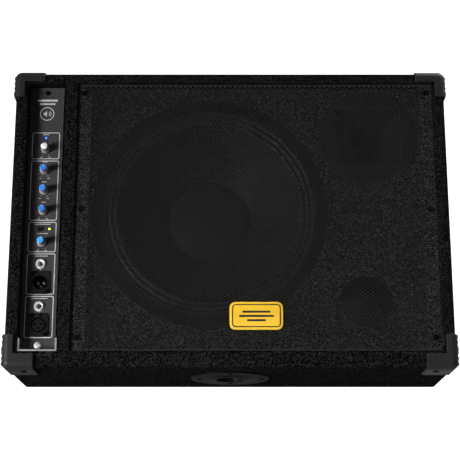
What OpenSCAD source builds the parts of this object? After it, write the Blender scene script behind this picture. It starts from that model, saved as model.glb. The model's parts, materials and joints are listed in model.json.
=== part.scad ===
// Stage monitor wedge: a carpeted plywood cabinet with a 12 inch woofer, a horn, a reflex port and
// an amplifier bay with a recessed control panel beside the grille.
//
// Most parts are drawn in the front frame: X across the cabinet, Y up the slanted front from its lower
// edge, Z outward from the rim of the front. place_front() stands that frame on the floor.

/* [Cabinet] */
// Overall width over the carpet
cab_w = 570; // [540:1:600]
// Length of the slanted front, edge to edge
front_len = 396; // [390:1:410]
// Length of the lower face that holds the pole socket
socket_len = 174; // [165:1:185]
// Length of the face that stands on the floor
floor_len = 330; // [310:1:340]
// Angle between the slanted front and the floor
tilt = 35; // [33:1:38]
// Plywood thickness of the sides, floor and back
ply_t = 14; // [12:1:15]
// Plywood thickness of the lower face
low_ply_t = 18; // [15:1:18]
// Plywood thickness of the top
top_ply_t = 12; // [12:1:15]
// Carpet thickness
carpet_t = 2.5; // [2:0.5:3]
// Height of the rubber feet
foot_h = 10; // [8:1:14]

/* [Front] */
// Clear width of the amplifier bay
bay_w = 50; // [50:1:54]
// Depth of the baffle board behind the rim
baffle_depth = 24.5; // [23:0.5:28]
// Thickness of the baffle board
baffle_t = 15; // [12:1:18]
// Depth of the grille behind the rim
grille_depth = 3.5; // [2:0.5:5]
// Thickness of the grille sheet
grille_t = 1.2; // [1:0.1:1.5]
// Width of the wooden strips that carry the grille
batten_w = 17.5; // [14:0.5:18]

/* [Woofer] */
// Radius of the woofer frame's flange
woofer_r = 155; // [152:0.5:156]
// Radius of the cone at its outer edge
cone_r = 119; // [114:1:122]
// Depth of the cone from edge to voice coil
cone_depth = 66; // [58:1:70]
// Radius of the dust cap
cap_r = 54; // [45:1:56]
// Radius of the voice coil former
coil_r = 38; // [36:0.5:38]

/* [Horn and port] */
// Radius of the horn's round flange
horn_r = 65.5; // [64:0.5:67]
// Width of the horn's mouth
mouth_w = 87; // [80:1:90]
// Height of the horn's mouth
mouth_h = 78; // [70:1:80]
// Depth of the horn from flange to throat
horn_depth = 82; // [70:1:90]
// Inside radius of the port
port_r = 33.5; // [28:0.5:34]

/* [Control panel] */
// Width of the control panel
panel_w = 44.45; // [43:0.05:46]
// Depth of the control panel behind the rim
panel_depth = 16; // [14:0.5:18]
// Radius of a control knob at its foot
knob_r = 6; // [5:0.25:6.5]

/* [Fittings] */
// Radius of the pole socket's bore
pole_r = 18; // [17.75:0.05:18.5]
// Radius of the pole socket's flange
socket_flange_r = 51.5; // [45:0.5:55]
// Length of each leg of a corner protector
guard_leg = 38; // [34:1:42]
// Wall thickness of a corner protector
guard_t = 3; // [2.5:0.5:4]

/* [Hidden] */
$fn = 64;

half_w = cab_w / 2;
wall_t = ply_t + carpet_t;
edge_r = 5;              // rounding of the carpeted edges
in_x = half_w - wall_t;  // inner face of a side panel
eps = 0.01;
gap = 0.2;               // general assembly gap

// Side section in the front frame as [y, z] points, clockwise from the lower front edge.
floor_end = [floor_len * cos(tilt), -socket_len - floor_len * sin(tilt)];
back_len = (front_len - floor_end[0]) / sin(tilt);
top_len = -(floor_end[1] + back_len * cos(tilt));
outline = [[0, 0], [front_len, 0], [front_len, -top_len], floor_end, [0, -socket_len]];

// The outline with each face moved inward by its own distance in o. Face i runs from point i to the next.
function right_normal(a, b) = let (d = (b - a) / norm(b - a)) [d[1], -d[0]];
function inset(p, o) = [
    for (i = [0 : len(p) - 1])
        let (
            k = (i + len(p) - 1) % len(p),
            n1 = right_normal(p[k], p[i]),
            n2 = right_normal(p[i], p[(i + 1) % len(p)]),
            det = n1[0] * n2[1] - n1[1] * n2[0]
        )
        p[i] + [o[k] * n2[1] - o[i] * n1[1], o[i] * n1[0] - o[k] * n2[0]] / det
];
low_wall = low_ply_t + carpet_t;
top_wall = top_ply_t + carpet_t;
wood_out = inset(outline, [carpet_t, carpet_t, carpet_t, carpet_t, carpet_t]);
wood_in = inset(outline, [wall_t, top_wall, wall_t, wall_t, low_wall]);

// Front openings
part_x1 = -in_x + bay_w;      // amp partition, bay side
part_x2 = part_x1 + wall_t;   // amp partition, speaker side
open_y1 = low_wall;
open_y2 = front_len - top_wall;
baffle_z = -baffle_depth;
grille_z = -grille_depth;

// Driver places on the front as [x, y]
woofer_at = [-27, 208.5];
horn_at = [184, 313];
port_at = [176, 89];
badge_at = [33.5, 66];
flange_t = 4.5;               // woofer frame flange
horn_flange_t = 5;
throat_r = 12.7;
port_flange_r = port_r + 6.5; // let into the board, under the carpet
port_flange_t = 2;

// Control panel
panel_x = -half_w + 40.3;     // centre line of the controls
lead_way = [322, -115];       // where the speaker leads cross the partition, as [y, z]
driver_r = 44;                // compression driver's largest radius
panel_z = -panel_depth;
panel_t = 1.5;
panel_y1 = 21.5;
panel_y2 = 381;
level_y = 293.5;
high_y = 264;
mid_y = 236.2;
low_y = 208.4;
filter_y = 165.5;
knob_ys = [level_y, high_y, mid_y, low_y, filter_y];
knob_h = 13.2;
cap_h = 1.4;
knob_lift = 1.4;              // from panel to the knob's foot
shaft_r = 3;
button_at = [panel_x - 3.5, 184];
led_at = [[panel_x, 309.8], [panel_x + 9.2, 301.5], [panel_x + 9.2, 184]];
led_r = 1.5;
jack_ys = [137, 81];
jack_bore_r = 3.25;
jack_len = 34;
male_y = 112.4;
female_y = 56.7;
xlr_r = 9.4;
xlr_barrel_r = 11.8;
xlr_plate_t = 1.2;
xlr_lip = 2.2;
xlr_screws = [[-9.5, 12], [9.5, -12]];
end_screw_y = 30;
top_screw_y = 373;

// Rear plate, in floor-frame heights
rear_x = -in_x + bay_w / 2;
rear_w = 66;
rear_z = [47, 207];
inlet_z = 78;
rocker_z = 132;
rocker_swing = 10;            // rocker tilt either side of level

// Handle on the top face, by depth behind the rim
handle_z = -98;
handle_w = 122;
handle_h = 74;
handle_deep = 44;

// Corner guard
guard_w = 12.3;               // width of its legs along the sides
guard_deep = 46;              // its reach back from the rim
guard_r = 10;                 // rounding of its outer edges
guard_screw = 25;             // from the corner to the screw, along the edge
guard_screw_in = 14;          // from the rim to the screw
top_leg = 33.5;               // leg down the side and width of the cross leg, for each pair of guards
top_bar = 12;
low_leg = 42;
low_bar = 17.4;

foot_r = 18;
foot_xy = [[225, 48], [225, 265]];
socket_z = -85;               // pole socket centre, by depth behind the rim
socket_tube = 80;
socket_screw_r = 41;

// Screw sizes
screw_r = 1.8;
screw_len = 12;
head_r = 3.6;
head_h = 1.6;
machine_r = 1.5;
machine_len = 5;
machine_head_r = 2.9;
hole_clear = 0.08;

// ---------- frames ----------
// The lowest point of the slanted front in the floor frame
lip_y = -socket_len * sin(tilt);
lip_z = socket_len * cos(tilt);
mid_y_all = (lip_y + floor_len) / 2;
centre_shift = -2.42;         // the guards and the rear fittings reach further at the back

module place_front() {
    translate([0, lip_y - mid_y_all + centre_shift, lip_z + foot_h])
        rotate([tilt, 0, 0])
            children();
}

// Inside the front frame, a frame whose Y runs back along the floor and whose Z is up.
module floor_frame() {
    translate([0, 0, -socket_len])
        rotate([-tilt, 0, 0])
            children();
}

// Extrudes [y, z] points across the cabinet from x1 to x2.
module across(points, x1, x2) {
    translate([x1, 0, 0])
        rotate([90, 0, 90])
            linear_extrude(x2 - x1)
                polygon(points);
}

module block(x1, x2, y1, y2, z1, z2) {
    translate([x1, y1, z1])
        cube([x2 - x1, y2 - y1, z2 - z1]);
}

module ring(r1, r2, h) {
    difference() {
        cylinder(r = r2, h = h);
        translate([0, 0, -1])
            cylinder(r = r1, h = h + 2);
    }
}

// A flat plate with round corners, w by h, from z = 0 up.
module round_plate(w, h, r, t) {
    linear_extrude(t)
        union() {
            square([w - 2 * r, h], center = true);
            square([w, h - 2 * r], center = true);
            for (x = [-1, 1], y = [-1, 1])
                translate([x * (w / 2 - r), y * (h / 2 - r)])
                    circle(r = r);
        }
}

// ---------- fasteners ----------
// Pan-head wood screw, its head standing on z = 0.
module wood_screw(len = screw_len) {
    difference() {
        union() {
            cylinder(r = head_r, h = head_h);
            translate([0, 0, -len])
                cylinder(r = screw_r, h = len);
        }
        for (a = [0, 90])
            rotate([0, 0, a])
                translate([0, 0, head_h])
                    cube([4.4, 1, 1.6], center = true);
    }
}

// Small pan-head machine screw for sheet metal.
module machine_screw() {
    difference() {
        union() {
            cylinder(r = machine_head_r, h = head_h);
            translate([0, 0, -machine_len])
                cylinder(r = machine_r, h = machine_len);
        }
        for (a = [0, 90])
            rotate([0, 0, a])
                translate([0, 0, head_h])
                    cube([3.4, 0.8, 1.6], center = true);
    }
}

module machine_hole() {
    translate([0, 0, -machine_len - 1])
        cylinder(r = machine_r + hole_clear, h = machine_len + 8);
}

module screw_hole(len = screw_len) {
    translate([0, 0, -len - 1])
        cylinder(r = screw_r + hole_clear, h = len + 8);
}

// Every outward corner where three faces meet square: the two ends of the rim and the lower back edge.
module at_corners() {
    at_top_corners()
        children();
    at_low_corners()
        children();
    at_back_corners()
        children();
}

module at_top_corners() {
    for (side = [0, 1])
        mirror([side, 0, 0])
            translate([half_w, front_len, 0])
                children();
}

module at_low_corners() {
    for (side = [0, 1])
        mirror([side, 0, 0])
            translate([half_w, 0, 0])
                mirror([0, 1, 0])
                    children();
}

module at_back_corners() {
    for (side = [0, 1])
        mirror([side, 0, 0])
            floor_frame()
                translate([half_w, floor_len, 0])
                    mirror([0, 0, 1])
                        children();
}

module at_guard_screws() {
    at_corners() {
        translate([-guard_screw, guard_t, -guard_screw_in])
            rotate([-90, 0, 0])
                children();
        translate([guard_t, -guard_screw, -guard_screw_in])
            rotate([0, 90, 0])
                children();
    }
}

module at_feet() {
    floor_frame()
        for (side = [-1, 1], p = foot_xy)
            translate([side * p[0], p[1], 0])
                children();
}

module at_foot_screws() {
    at_feet()
        translate([0, 0, -foot_h / 2])
            mirror([0, 0, 1])
                children();
}

module at_pole_socket() {
    translate([0, 0, socket_z])
        rotate([-90, 0, 0])
            children();
}

module at_socket_screws() {
    at_pole_socket()
        for (a = [0 : 90 : 270])
            rotate([0, 0, a])
                translate([socket_screw_r, 0, -2])
                    mirror([0, 0, 1])
                        children();
}

module at_handle() {
    translate([0, front_len, handle_z])
        rotate([-90, 0, 0])
            children();
}

module at_handle_screws() {
    at_handle()
        for (x = [-1, 1], y = [-1, 1])
            translate([x * (handle_w / 2 + 7), y * (handle_h / 2 - 8), 3])
                children();
}

// Frame on the back face: X across, Y down, Z outward, at the bay's centre and floor level.
module at_back() {
    floor_frame()
        translate([rear_x, floor_len, 0])
            rotate([-90, 0, 0])
                children();
}

module at_rear_screws() {
    at_back()
        for (x = [-1, 1], z = [rear_z[0] + 6, rear_z[1] - 6])
            translate([x * (rear_w / 2 - 5), -z, 2])
                children();
}

module at_woofer_screws() {
    for (a = [22.5 : 45 : 359])
        translate([woofer_at[0], woofer_at[1], baffle_z + flange_t])
            rotate([0, 0, a])
                translate([woofer_r - 6.5, 0, 0])
                    children();
}

module at_horn_screws() {
    for (a = [0 : 90 : 270])
        translate([horn_at[0], horn_at[1], baffle_z + horn_flange_t])
            rotate([0, 0, a])
                translate([horn_r - 9, 0, 0])
                    children();
}

module at_grille_screws() {
    for (x = [part_x2 + 8, in_x - 8.5], y = [38, 206.5, 368.5])
        translate([x, y, grille_z])
            children();
}

module cabinet_holes() {
    at_guard_screws()
        screw_hole();
    at_foot_screws()
        screw_hole(18);
    at_socket_screws()
        screw_hole();
    at_handle_screws()
        screw_hole();
    at_rear_screws()
        screw_hole();
}

module cabinet_screws() {
    color([0.09, 0.09, 0.1]) {
        at_guard_screws()
            wood_screw();
        at_foot_screws()
            wood_screw(18);
        at_socket_screws()
            wood_screw();
        at_handle_screws()
            wood_screw();
        at_rear_screws()
            wood_screw();
    }
}

module baffle_screws() {
    color([0.08, 0.08, 0.085]) {
        at_woofer_screws()
            wood_screw(16);
        at_horn_screws()
            wood_screw(16);
        at_grille_screws()
            wood_screw(14);
    }
}

// ---------- cabinet ----------
module wood() {
    color([0.66, 0.5, 0.33])
        children();
}

module side_panel(side) {
    wood()
        difference() {
            if (side < 0) across(wood_out, -half_w + carpet_t, -in_x);
            else across(wood_out, in_x, half_w - carpet_t);
            cabinet_holes();
        }
}

module top_panel() {
    wood()
        difference() {
            across(
                [[wood_out[1][0], -carpet_t], wood_out[2], wood_in[2], [wood_in[1][0], -carpet_t]],
                -in_x, in_x
            );
            cabinet_holes();
            at_handle()
                translate([0, 0, -40])
                    linear_extrude(60)
                        square([handle_w + 5, handle_h + 5], center = true);
        }
}

module socket_panel() {
    wood()
        difference() {
            across(
                [[wood_out[0][0], -carpet_t], [wood_in[0][0], -carpet_t], wood_in[4], wood_out[4]],
                -in_x, in_x
            );
            cabinet_holes();
            at_pole_socket()
                translate([0, 0, -20])
                    cylinder(r = pole_r + 3.2, h = 60);
        }
}

module floor_panel() {
    wood()
        difference() {
            across([wood_out[4], wood_in[4], wood_in[3], wood_out[3]], -in_x, in_x);
            cabinet_holes();
        }
}

module rear_opening() {
    at_back()
        translate([-bay_w / 2 + 3, -rear_z[1] + 14, -30])
            cube([bay_w - 6, rear_z[1] - rear_z[0] - 28, 60]);
}

module back_panel() {
    wood()
        difference() {
            across([wood_out[3], wood_in[3], wood_in[2], wood_out[2]], -in_x, in_x);
            cabinet_holes();
            rear_opening();
        }
}

module amp_partition() {
    wood()
        difference() {
            across(
                [[open_y1, -carpet_t], [open_y2, -carpet_t], wood_in[2], wood_in[3], wood_in[4]],
                part_x1, part_x2
            );
            cable_way();
        }
}

// Hole for the speaker leads, through the tray and the partition.
module cable_way() {
    translate([part_x1 - 4, lead_way[0], lead_way[1]])
        rotate([0, 90, 0])
            cylinder(r = 14, h = wall_t + 6);
}

module baffle_board() {
    wood()
        difference() {
            block(part_x2, in_x, open_y1, open_y2, baffle_z - baffle_t, baffle_z);
            translate([woofer_at[0], woofer_at[1], baffle_z - 40])
                cylinder(r = woofer_r - 14, h = 60);
            translate([horn_at[0], horn_at[1], baffle_z - 40])
                linear_extrude(60)
                    square([mouth_w + 9, mouth_h + 9], center = true);
            translate([port_at[0], port_at[1], baffle_z - 40]) {
                cylinder(r = port_r + 2.8, h = 60);
                translate([0, 0, 40 - port_flange_t - 0.05])
                    cylinder(r = port_flange_r + 0.3, h = 20);
            }
            at_woofer_screws()
                screw_hole(16);
            at_horn_screws()
                screw_hole(16);
        }
}

// Strips in front of the baffle that carry the grille, and cleats behind it.
module baffle_battens() {
    cleat = 18;
    back = baffle_z - baffle_t;
    color([0.05, 0.05, 0.05])
        difference() {
            union() {
                block(part_x2, part_x2 + batten_w, open_y1, open_y2, baffle_z, grille_z - grille_t);
                block(in_x - batten_w, in_x, open_y1, open_y2, baffle_z, grille_z - grille_t);
                block(part_x2, part_x2 + cleat, open_y1, open_y2, back - cleat, back);
                block(in_x - cleat, in_x, open_y1, open_y2, back - cleat, back);
                block(part_x2 + cleat, in_x - cleat, open_y1, open_y1 + cleat, back - cleat, back);
                block(part_x2 + cleat, in_x - cleat, open_y2 - cleat, open_y2, back - cleat, back);
            }
            at_grille_screws()
                screw_hole(14);
        }
}

// One skin glued over the whole cabinet, its rim and the front edge of the partition.
module carpet_cover() {
    ball = inset(outline, [edge_r, edge_r, edge_r, edge_r, edge_r]);
    color([0.07, 0.07, 0.07])
        difference() {
            hull()
                for (side = [-1, 1], p = ball)
                    translate([side * (half_w - edge_r), p[0], p[1]])
                        sphere(r = edge_r, $fn = 16);
            across(wood_out, -half_w + carpet_t, half_w - carpet_t);
            block(part_x2, in_x, open_y1, open_y2, -carpet_t - 2, 2);
            block(-in_x, part_x1, open_y1, open_y2, -carpet_t - 2, 2);
            at_pole_socket()
                translate([0, 0, -20])
                    cylinder(r = pole_r + 3.2, h = 60);
            at_handle()
                translate([0, 0, -20])
                    linear_extrude(40)
                        square([handle_w + 5, handle_h + 5], center = true);
            rear_opening();
            cabinet_holes();
        }
}

module baffle_carpet() {
    color([0.07, 0.07, 0.07])
        difference() {
            block(
                part_x2 + batten_w, in_x - batten_w, open_y1, open_y2,
                baffle_z, baffle_z + carpet_t - 0.1
            );
            translate([woofer_at[0], woofer_at[1], baffle_z - 2])
                cylinder(r = woofer_r + 0.6, h = 10);
            translate([horn_at[0], horn_at[1], baffle_z - 2])
                cylinder(r = horn_r + 0.6, h = 10);
            translate([port_at[0], port_at[1], baffle_z - 2])
                cylinder(r = port_r + 0.3, h = 10);
        }
}

// Polyester sheets on the floor and the back of the speaker chamber.
module wadding() {
    sheet = 20;
    color([0.88, 0.88, 0.86])
        floor_frame() {
            block(part_x2 + 3, in_x - 3, 34, floor_len - wall_t - 1, wall_t + gap, wall_t + sheet);
            block(
                part_x2 + 3, in_x - 3, floor_len - wall_t - sheet, floor_len - wall_t - gap,
                wall_t + sheet + 2, back_len - 45
            );
        }
}

// ---------- fittings ----------
// Recessed dish for the handle; Z is out of the top face.
module handle_dish() {
    rim_t = 3;
    wall = 2.4;
    color([0.1, 0.1, 0.1])
        difference() {
            at_handle()
                difference() {
                    union() {
                        round_plate(handle_w + 26, handle_h + 24, 10, rim_t);
                        translate([0, 0, -handle_deep])
                            round_plate(handle_w + 4, handle_h + 4, 11, handle_deep + 1);
                    }
                    translate([0, 0, -handle_deep + wall])
                        round_plate(handle_w - 2, handle_h - 2, 9, handle_deep + 10);
                    translate([-handle_w, 0, -5])
                        rotate([0, 90, 0])
                            cylinder(r = 9.1, h = 2 * handle_w);
                }
            at_handle_screws()
                screw_hole();
        }
}

module handle_grip() {
    color([0.14, 0.14, 0.14])
        at_handle()
            translate([-handle_w / 2 - 1.6, 0, -5])
                rotate([0, 90, 0])
                    union() {
                        cylinder(r = 9, h = handle_w + 3.2);
                        translate([0, 0, 14])
                            cylinder(r = 11.5, h = handle_w + 3.2 - 28);
                    }
}

// Corner guard: a rounded box corner with the cabinet's octant cut away. It keeps a leg down the side and
// a cross bar on the rim, and a plate with ribs on each of the other faces.
module corner_guard(leg, bar) {
    rib_r = 2.6;
    rib_step = 7;
    rib_start = 5;
    side_rise = 1.1;
    cross_rise = 0.5;
    rib_len = guard_deep - 9;
    ease = 2.8;
    ball = guard_t - guard_r;
    far = -70;
    difference() {
        union() {
            intersection() {
                hull()
                    for (x = [far, ball], y = [far, ball], z = [far, ball])
                        translate([x, y, z])
                            sphere(r = guard_r, $fn = 16);
                block(-guard_leg, 20, -leg, 20, -guard_deep, 20);
            }
            for (y = [rib_start : rib_step : leg - 2])
                translate([guard_t + side_rise - rib_r, -y, -guard_deep + 2])
                    cylinder(r = rib_r, h = rib_len, $fn = 16);
            for (x = [rib_start : rib_step : guard_leg - 2])
                translate([-x, guard_t + cross_rise - rib_r, -guard_deep + 2])
                    cylinder(r = rib_r, h = rib_len, $fn = 16);
        }
        // the cabinet's corner, its edges eased
        hull() {
            block(-100, 0, -100, -ease, -100, -ease);
            block(-100, -ease, -100, 0, -100, -ease);
            block(-100, -ease, -100, -ease, -100, 0);
        }
        block(-100, -guard_w, -100, -bar, -1, 20);
    }
}

module corner_protectors() {
    color([0.2, 0.2, 0.2])
        difference() {
            union() {
                at_top_corners()
                    corner_guard(top_leg, top_bar);
                at_low_corners()
                    corner_guard(low_leg, low_bar);
                at_back_corners()
                    corner_guard(guard_leg, guard_w);
            }
            at_guard_screws() {
                screw_hole($fn = 24);
                cylinder(r = head_r + 1.9, h = 6, $fn = 32);
            }
        }
}

module rubber_feet() {
    color([0.06, 0.06, 0.06])
        difference() {
            at_feet()
                mirror([0, 0, 1])
                    rotate_extrude()
                        polygon([
                            [0, 0], [foot_r, 0], [foot_r, foot_h - 2.5], [foot_r - 2.5, foot_h], [0, foot_h]
                        ]);
            at_foot_screws() {
                screw_hole(18);
                cylinder(r = head_r + 0.6, h = 20);
            }
        }
}

// Steel cup for a 35 mm pole; drawn with its mouth at z = 0 facing -z before at_pole_socket turns it.
module pole_socket() {
    lip = 2;
    wall = 3;
    color([0.25, 0.25, 0.26])
        difference() {
            at_pole_socket()
                difference() {
                    union() {
                        translate([0, 0, -lip])
                            cylinder(r = socket_flange_r, h = lip);
                        cylinder(r = pole_r + wall, h = socket_tube);
                        translate([0, 0, -lip - 1.2])
                            cylinder(r1 = pole_r + 2.5, r2 = pole_r + 6, h = 1.3);
                    }
                    translate([0, 0, -10])
                        cylinder(r = pole_r, h = 10 + socket_tube - wall);
                }
            at_socket_screws()
                screw_hole();
        }
}

module port_tube() {
    wall = 2.5;
    color([0.04, 0.04, 0.04])
        translate([port_at[0], port_at[1], baffle_z])
            difference() {
                union() {
                    translate([0, 0, -port_flange_t])
                        cylinder(r = port_flange_r, h = port_flange_t);
                    translate([0, 0, -118])
                        cylinder(r = port_r + wall, h = 118);
                }
                translate([0, 0, -119])
                    cylinder(r = port_r, h = 130);
            }
}

// ---------- grille ----------
module grille() {
    color([0.12, 0.12, 0.12])
        difference() {
            block(part_x2 + 1, in_x - 1, open_y1 + 1, open_y2 - 1, grille_z - grille_t, grille_z);
            at_grille_screws()
                cylinder(r = screw_r + 0.4, h = 10, center = true);
        }
}

module badge() {
    color([0.98, 0.78, 0.14])
        translate([badge_at[0], badge_at[1], grille_z + 0.02])
            round_plate(68, 36, 9, 2.2);
}

// ---------- woofer ----------
cone_z = baffle_z + 5;        // cone's outer edge
function cone_at(r) = cone_z - cone_depth * pow((cone_r - r) / (cone_r - coil_r), 0.9);

module at_woofer() {
    translate([woofer_at[0], woofer_at[1], 0])
        children();
}

spider_z = cone_at(coil_r) - 8;
plate_z = spider_z - 14;      // front face of the magnet's top plate
plate_t = 8;
magnet_t = 20;
yoke_t = 8;
bowl_top = [woofer_r - 16, baffle_z];
bowl_low = [80, plate_z + 6];

// Pressed frame: a flange, a bowl with six windows, a landing for the spider and a foot.
module woofer_frame() {
    wall = 2;
    color([0.13, 0.13, 0.14])
        difference() {
            at_woofer()
                difference() {
                    rotate_extrude($fn = 96)
                        polygon([
                            [woofer_r, baffle_z], [woofer_r, baffle_z + flange_t],
                            [woofer_r - 14, baffle_z + flange_t],
                            [woofer_r - 14, baffle_z + 1.5], [bowl_top[0] - wall, baffle_z + 1.5],
                            [bowl_low[0] + 4, spider_z - 1], [bowl_low[0] - 6, spider_z - 1],
                            [bowl_low[0] - 6, plate_z + wall], [44, plate_z + wall],
                            [44, plate_z], [bowl_low[0], plate_z],
                            bowl_low, bowl_top
                        ]);
                    for (a = [0 : 60 : 300])
                        rotate([0, 0, a])
                            translate([0, 0, spider_z + 2])
                                linear_extrude(baffle_z - 14 - spider_z)
                                    polygon([[50, -16], [160, -62], [160, 62], [50, 16]]);
                }
            at_woofer_screws()
                screw_hole(16);
        }
}

module woofer_gasket() {
    color([0.05, 0.05, 0.05])
        at_woofer()
            translate([0, 0, baffle_z + flange_t])
                ring(woofer_r - 14, woofer_r - 12, 5);
}

// Pleated cloth surround: three half rolls from the cone's edge to the frame.
module woofer_surround() {
    span = woofer_r - 14.3 - cone_r - 0.3;
    cloth = 0.8;
    steps = 24;
    roll = [
        for (i = [0 : steps])
            let (u = i / steps)
            [cone_r + 0.3 + u * span, baffle_z + 2.6 + 3.2 * abs(sin(u * 540))]
    ];
    color([0.1, 0.1, 0.1])
        at_woofer()
            rotate_extrude($fn = 96)
                polygon(concat(roll, [for (i = [steps : -1 : 0]) roll[i] + [0, cloth]]));
}

module woofer_cone() {
    paper = 1.2;
    steps = 8;
    line = [for (i = [0 : steps]) let (r = cone_r - (cone_r - coil_r) * i / steps) [r, cone_at(r)]];
    color([0.09, 0.09, 0.09])
        at_woofer()
            rotate_extrude($fn = 96)
                polygon(concat(line, [for (i = [steps : -1 : 0]) line[i] + [0, -paper]]));
}

// Domed cap: a spherical shell standing on the cone.
module dust_cap() {
    rise = 11;
    ball = (cap_r * cap_r + rise * rise) / (2 * rise);
    foot = cone_at(cap_r) + 0.15;
    half = asin(cap_r / ball);
    steps = 6;
    arc_top = [
        for (i = [0 : steps])
            let (a = half * i / steps) [ball * sin(a), foot + rise - ball + ball * cos(a)]
    ];
    // the shell thins towards its edge
    arc_under = [for (i = [steps : -1 : 0]) arc_top[i] - [0, 0.1 + 0.7 * (steps - i) / steps]];
    color([0.06, 0.06, 0.06])
        at_woofer()
            rotate_extrude($fn = 96)
                polygon(concat(arc_top, arc_under));
}

module voice_coil() {
    color([0.72, 0.45, 0.2])
        at_woofer()
            rotate_extrude($fn = 96)
                polygon([
                    [coil_r - 0.5, cone_at(coil_r)], [coil_r - 0.02, cone_at(coil_r)],
                    [coil_r - 0.02, plate_z + 3], [coil_r + 1.2, plate_z + 3],
                    [coil_r + 1.2, plate_z - plate_t - 3], [coil_r - 0.5, plate_z - plate_t - 3]
                ]);
}

module woofer_spider() {
    inner = coil_r + 0.3;
    outer = bowl_low[0] + 3;
    steps = 24;
    wave = [
        for (i = [0 : steps])
            let (u = i / steps) [inner + u * (outer - inner), spider_z + 1.6 + 1.4 * sin(u * 360 * 4)]
    ];
    color([0.75, 0.6, 0.3])
        at_woofer()
            rotate_extrude($fn = 96)
                polygon(concat(wave, [for (i = [steps : -1 : 0]) wave[i] + [0, -0.6]]));
}

module woofer_top_plate() {
    color([0.55, 0.56, 0.58])
        at_woofer()
            translate([0, 0, plate_z - plate_t])
                ring(coil_r + 2, 78, plate_t);
}

module woofer_magnet() {
    color([0.2, 0.2, 0.21])
        at_woofer()
            translate([0, 0, plate_z - plate_t - magnet_t])
                ring(45, 84, magnet_t);
}

module woofer_yoke() {
    back = plate_z - plate_t - magnet_t;
    color([0.55, 0.56, 0.58])
        at_woofer()
            difference() {
                union() {
                    translate([0, 0, back - yoke_t])
                        cylinder(r = 78, h = yoke_t);
                    translate([0, 0, back - 1])
                        cylinder(r = coil_r - 1.3, h = magnet_t + plate_t + 1);
                }
                translate([0, 0, back - yoke_t - 1])
                    cylinder(r = 12, h = 60);
            }
}

// ---------- horn ----------
function lerp(a, b, u) = a + (b - a) * u;

// Size of the flare at the share u of its depth, for a mouth of the given size.
function flare(mouth, u) = lerp(mouth, 1.8 * throat_r, 1 - pow(1 - u, 1.7));

// One straight-walled stage of the flare between the shares u1 and u2, grown by wall.
module flare_stage(u1, u2, wall) {
    thin = 0.02;
    hull()
        for (u = [u1, u2])
            translate([0, 0, -u * horn_depth])
                cube(
                    [flare(mouth_w, u) + 2 * wall, flare(mouth_h, u) + 2 * wall, thin],
                    center = true
                );
}

module horn() {
    stages = 3;
    throat = 12;
    color([0.08, 0.08, 0.08])
        difference() {
            translate([horn_at[0], horn_at[1], baffle_z])
                difference() {
                    union() {
                        cylinder(r = horn_r, h = horn_flange_t);
                        for (i = [0 : stages - 1])
                            flare_stage(i / stages, (i + 1) / stages, 3);
                        translate([0, 0, -horn_depth - 6])
                            cylinder(r = 38, h = throat);
                    }
                    for (i = [0 : stages - 1])
                        flare_stage(i / stages, (i + 1) / stages, 0);
                    block(
                        -mouth_w / 2, mouth_w / 2, -mouth_h / 2, mouth_h / 2,
                        -0.01, horn_flange_t + 1
                    );
                    translate([0, 0, -horn_depth - 7])
                        cylinder(r = throat_r, h = 20);
                }
            at_horn_screws()
                screw_hole(16);
        }
}

module compression_driver() {
    front = baffle_z - horn_depth - 6;
    color([0.16, 0.16, 0.17])
        translate([horn_at[0], horn_at[1], front])
            difference() {
                union() {
                    translate([0, 0, -6])
                        cylinder(r = 38, h = 6);
                    translate([0, 0, -24])
                        cylinder(r = driver_r, h = 18);
                    translate([0, 0, -30])
                        cylinder(r = 40, h = 6);
                    translate([0, 0, -44])
                        cylinder(r1 = 33, r2 = 36, h = 14);
                }
                translate([0, 0, -20])
                    cylinder(r = throat_r, h = 21);
            }
}

// ---------- control panel and amplifier ----------
module panel_cut(x, y, r) {
    translate([x, y, panel_z - 6])
        cylinder(r = r, h = 12);
}

module control_panel() {
    color([0.11, 0.11, 0.11])
        difference() {
            block(
                panel_x - panel_w / 2, panel_x + panel_w / 2, panel_y1, panel_y2,
                panel_z - panel_t, panel_z
            );
            for (y = knob_ys)
                panel_cut(panel_x, y, 3.8);
            for (y = jack_ys)
                panel_cut(panel_x, y, 5.9);
            for (y = [male_y, female_y])
                panel_cut(panel_x, y, xlr_barrel_r + 0.1);
            for (p = led_at)
                panel_cut(p[0], p[1], led_r + 0.1);
            panel_cut(button_at[0], button_at[1], 3.15);
            at_panel_screws()
                machine_hole();
            panel_cut(panel_x, end_screw_y, 2.1);
        }
}

module at_panel_screws() {
    translate([panel_x, top_screw_y, panel_z])
        children();
    for (y = [male_y, female_y], p = xlr_screws)
        translate([panel_x + p[0], y + p[1], panel_z + xlr_plate_t])
            children();
}

module panel_screws() {
    color([0.05, 0.05, 0.05])
        at_panel_screws()
            machine_screw();
}

// Bright dome-headed screw that ties the panel's lower end to the tray.
module panel_end_screw() {
    dome = 4.6;
    color([0.8, 0.8, 0.8])
        translate([panel_x, end_screw_y, panel_z])
            difference() {
                union() {
                    intersection() {
                        translate([0, 0, 3.2 - 6])
                            sphere(r = 6);
                        cylinder(r = dome, h = 4);
                    }
                    translate([0, 0, -6])
                        cylinder(r = 2, h = 6.2);
                }
                for (a = [0, 90])
                    rotate([0, 0, a])
                        translate([0, 0, 3.2])
                            cube([5, 1, 2.2], center = true);
            }
}

// Bright U-shaped liner round the lower end of the panel's recess.
module panel_bracket() {
    t = 2.2;
    rise = 17;
    color([0.72, 0.72, 0.72]) {
        difference() {
            block(-in_x + gap, part_x1 - gap, open_y1 + gap, open_y1 + rise, panel_z, -2);
            block(
                -in_x + gap + t, part_x1 - gap - t, open_y1 + gap + t, open_y1 + rise + 1,
                panel_z - 1, 0
            );
        }
    }
}

tray_back = -140;

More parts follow.
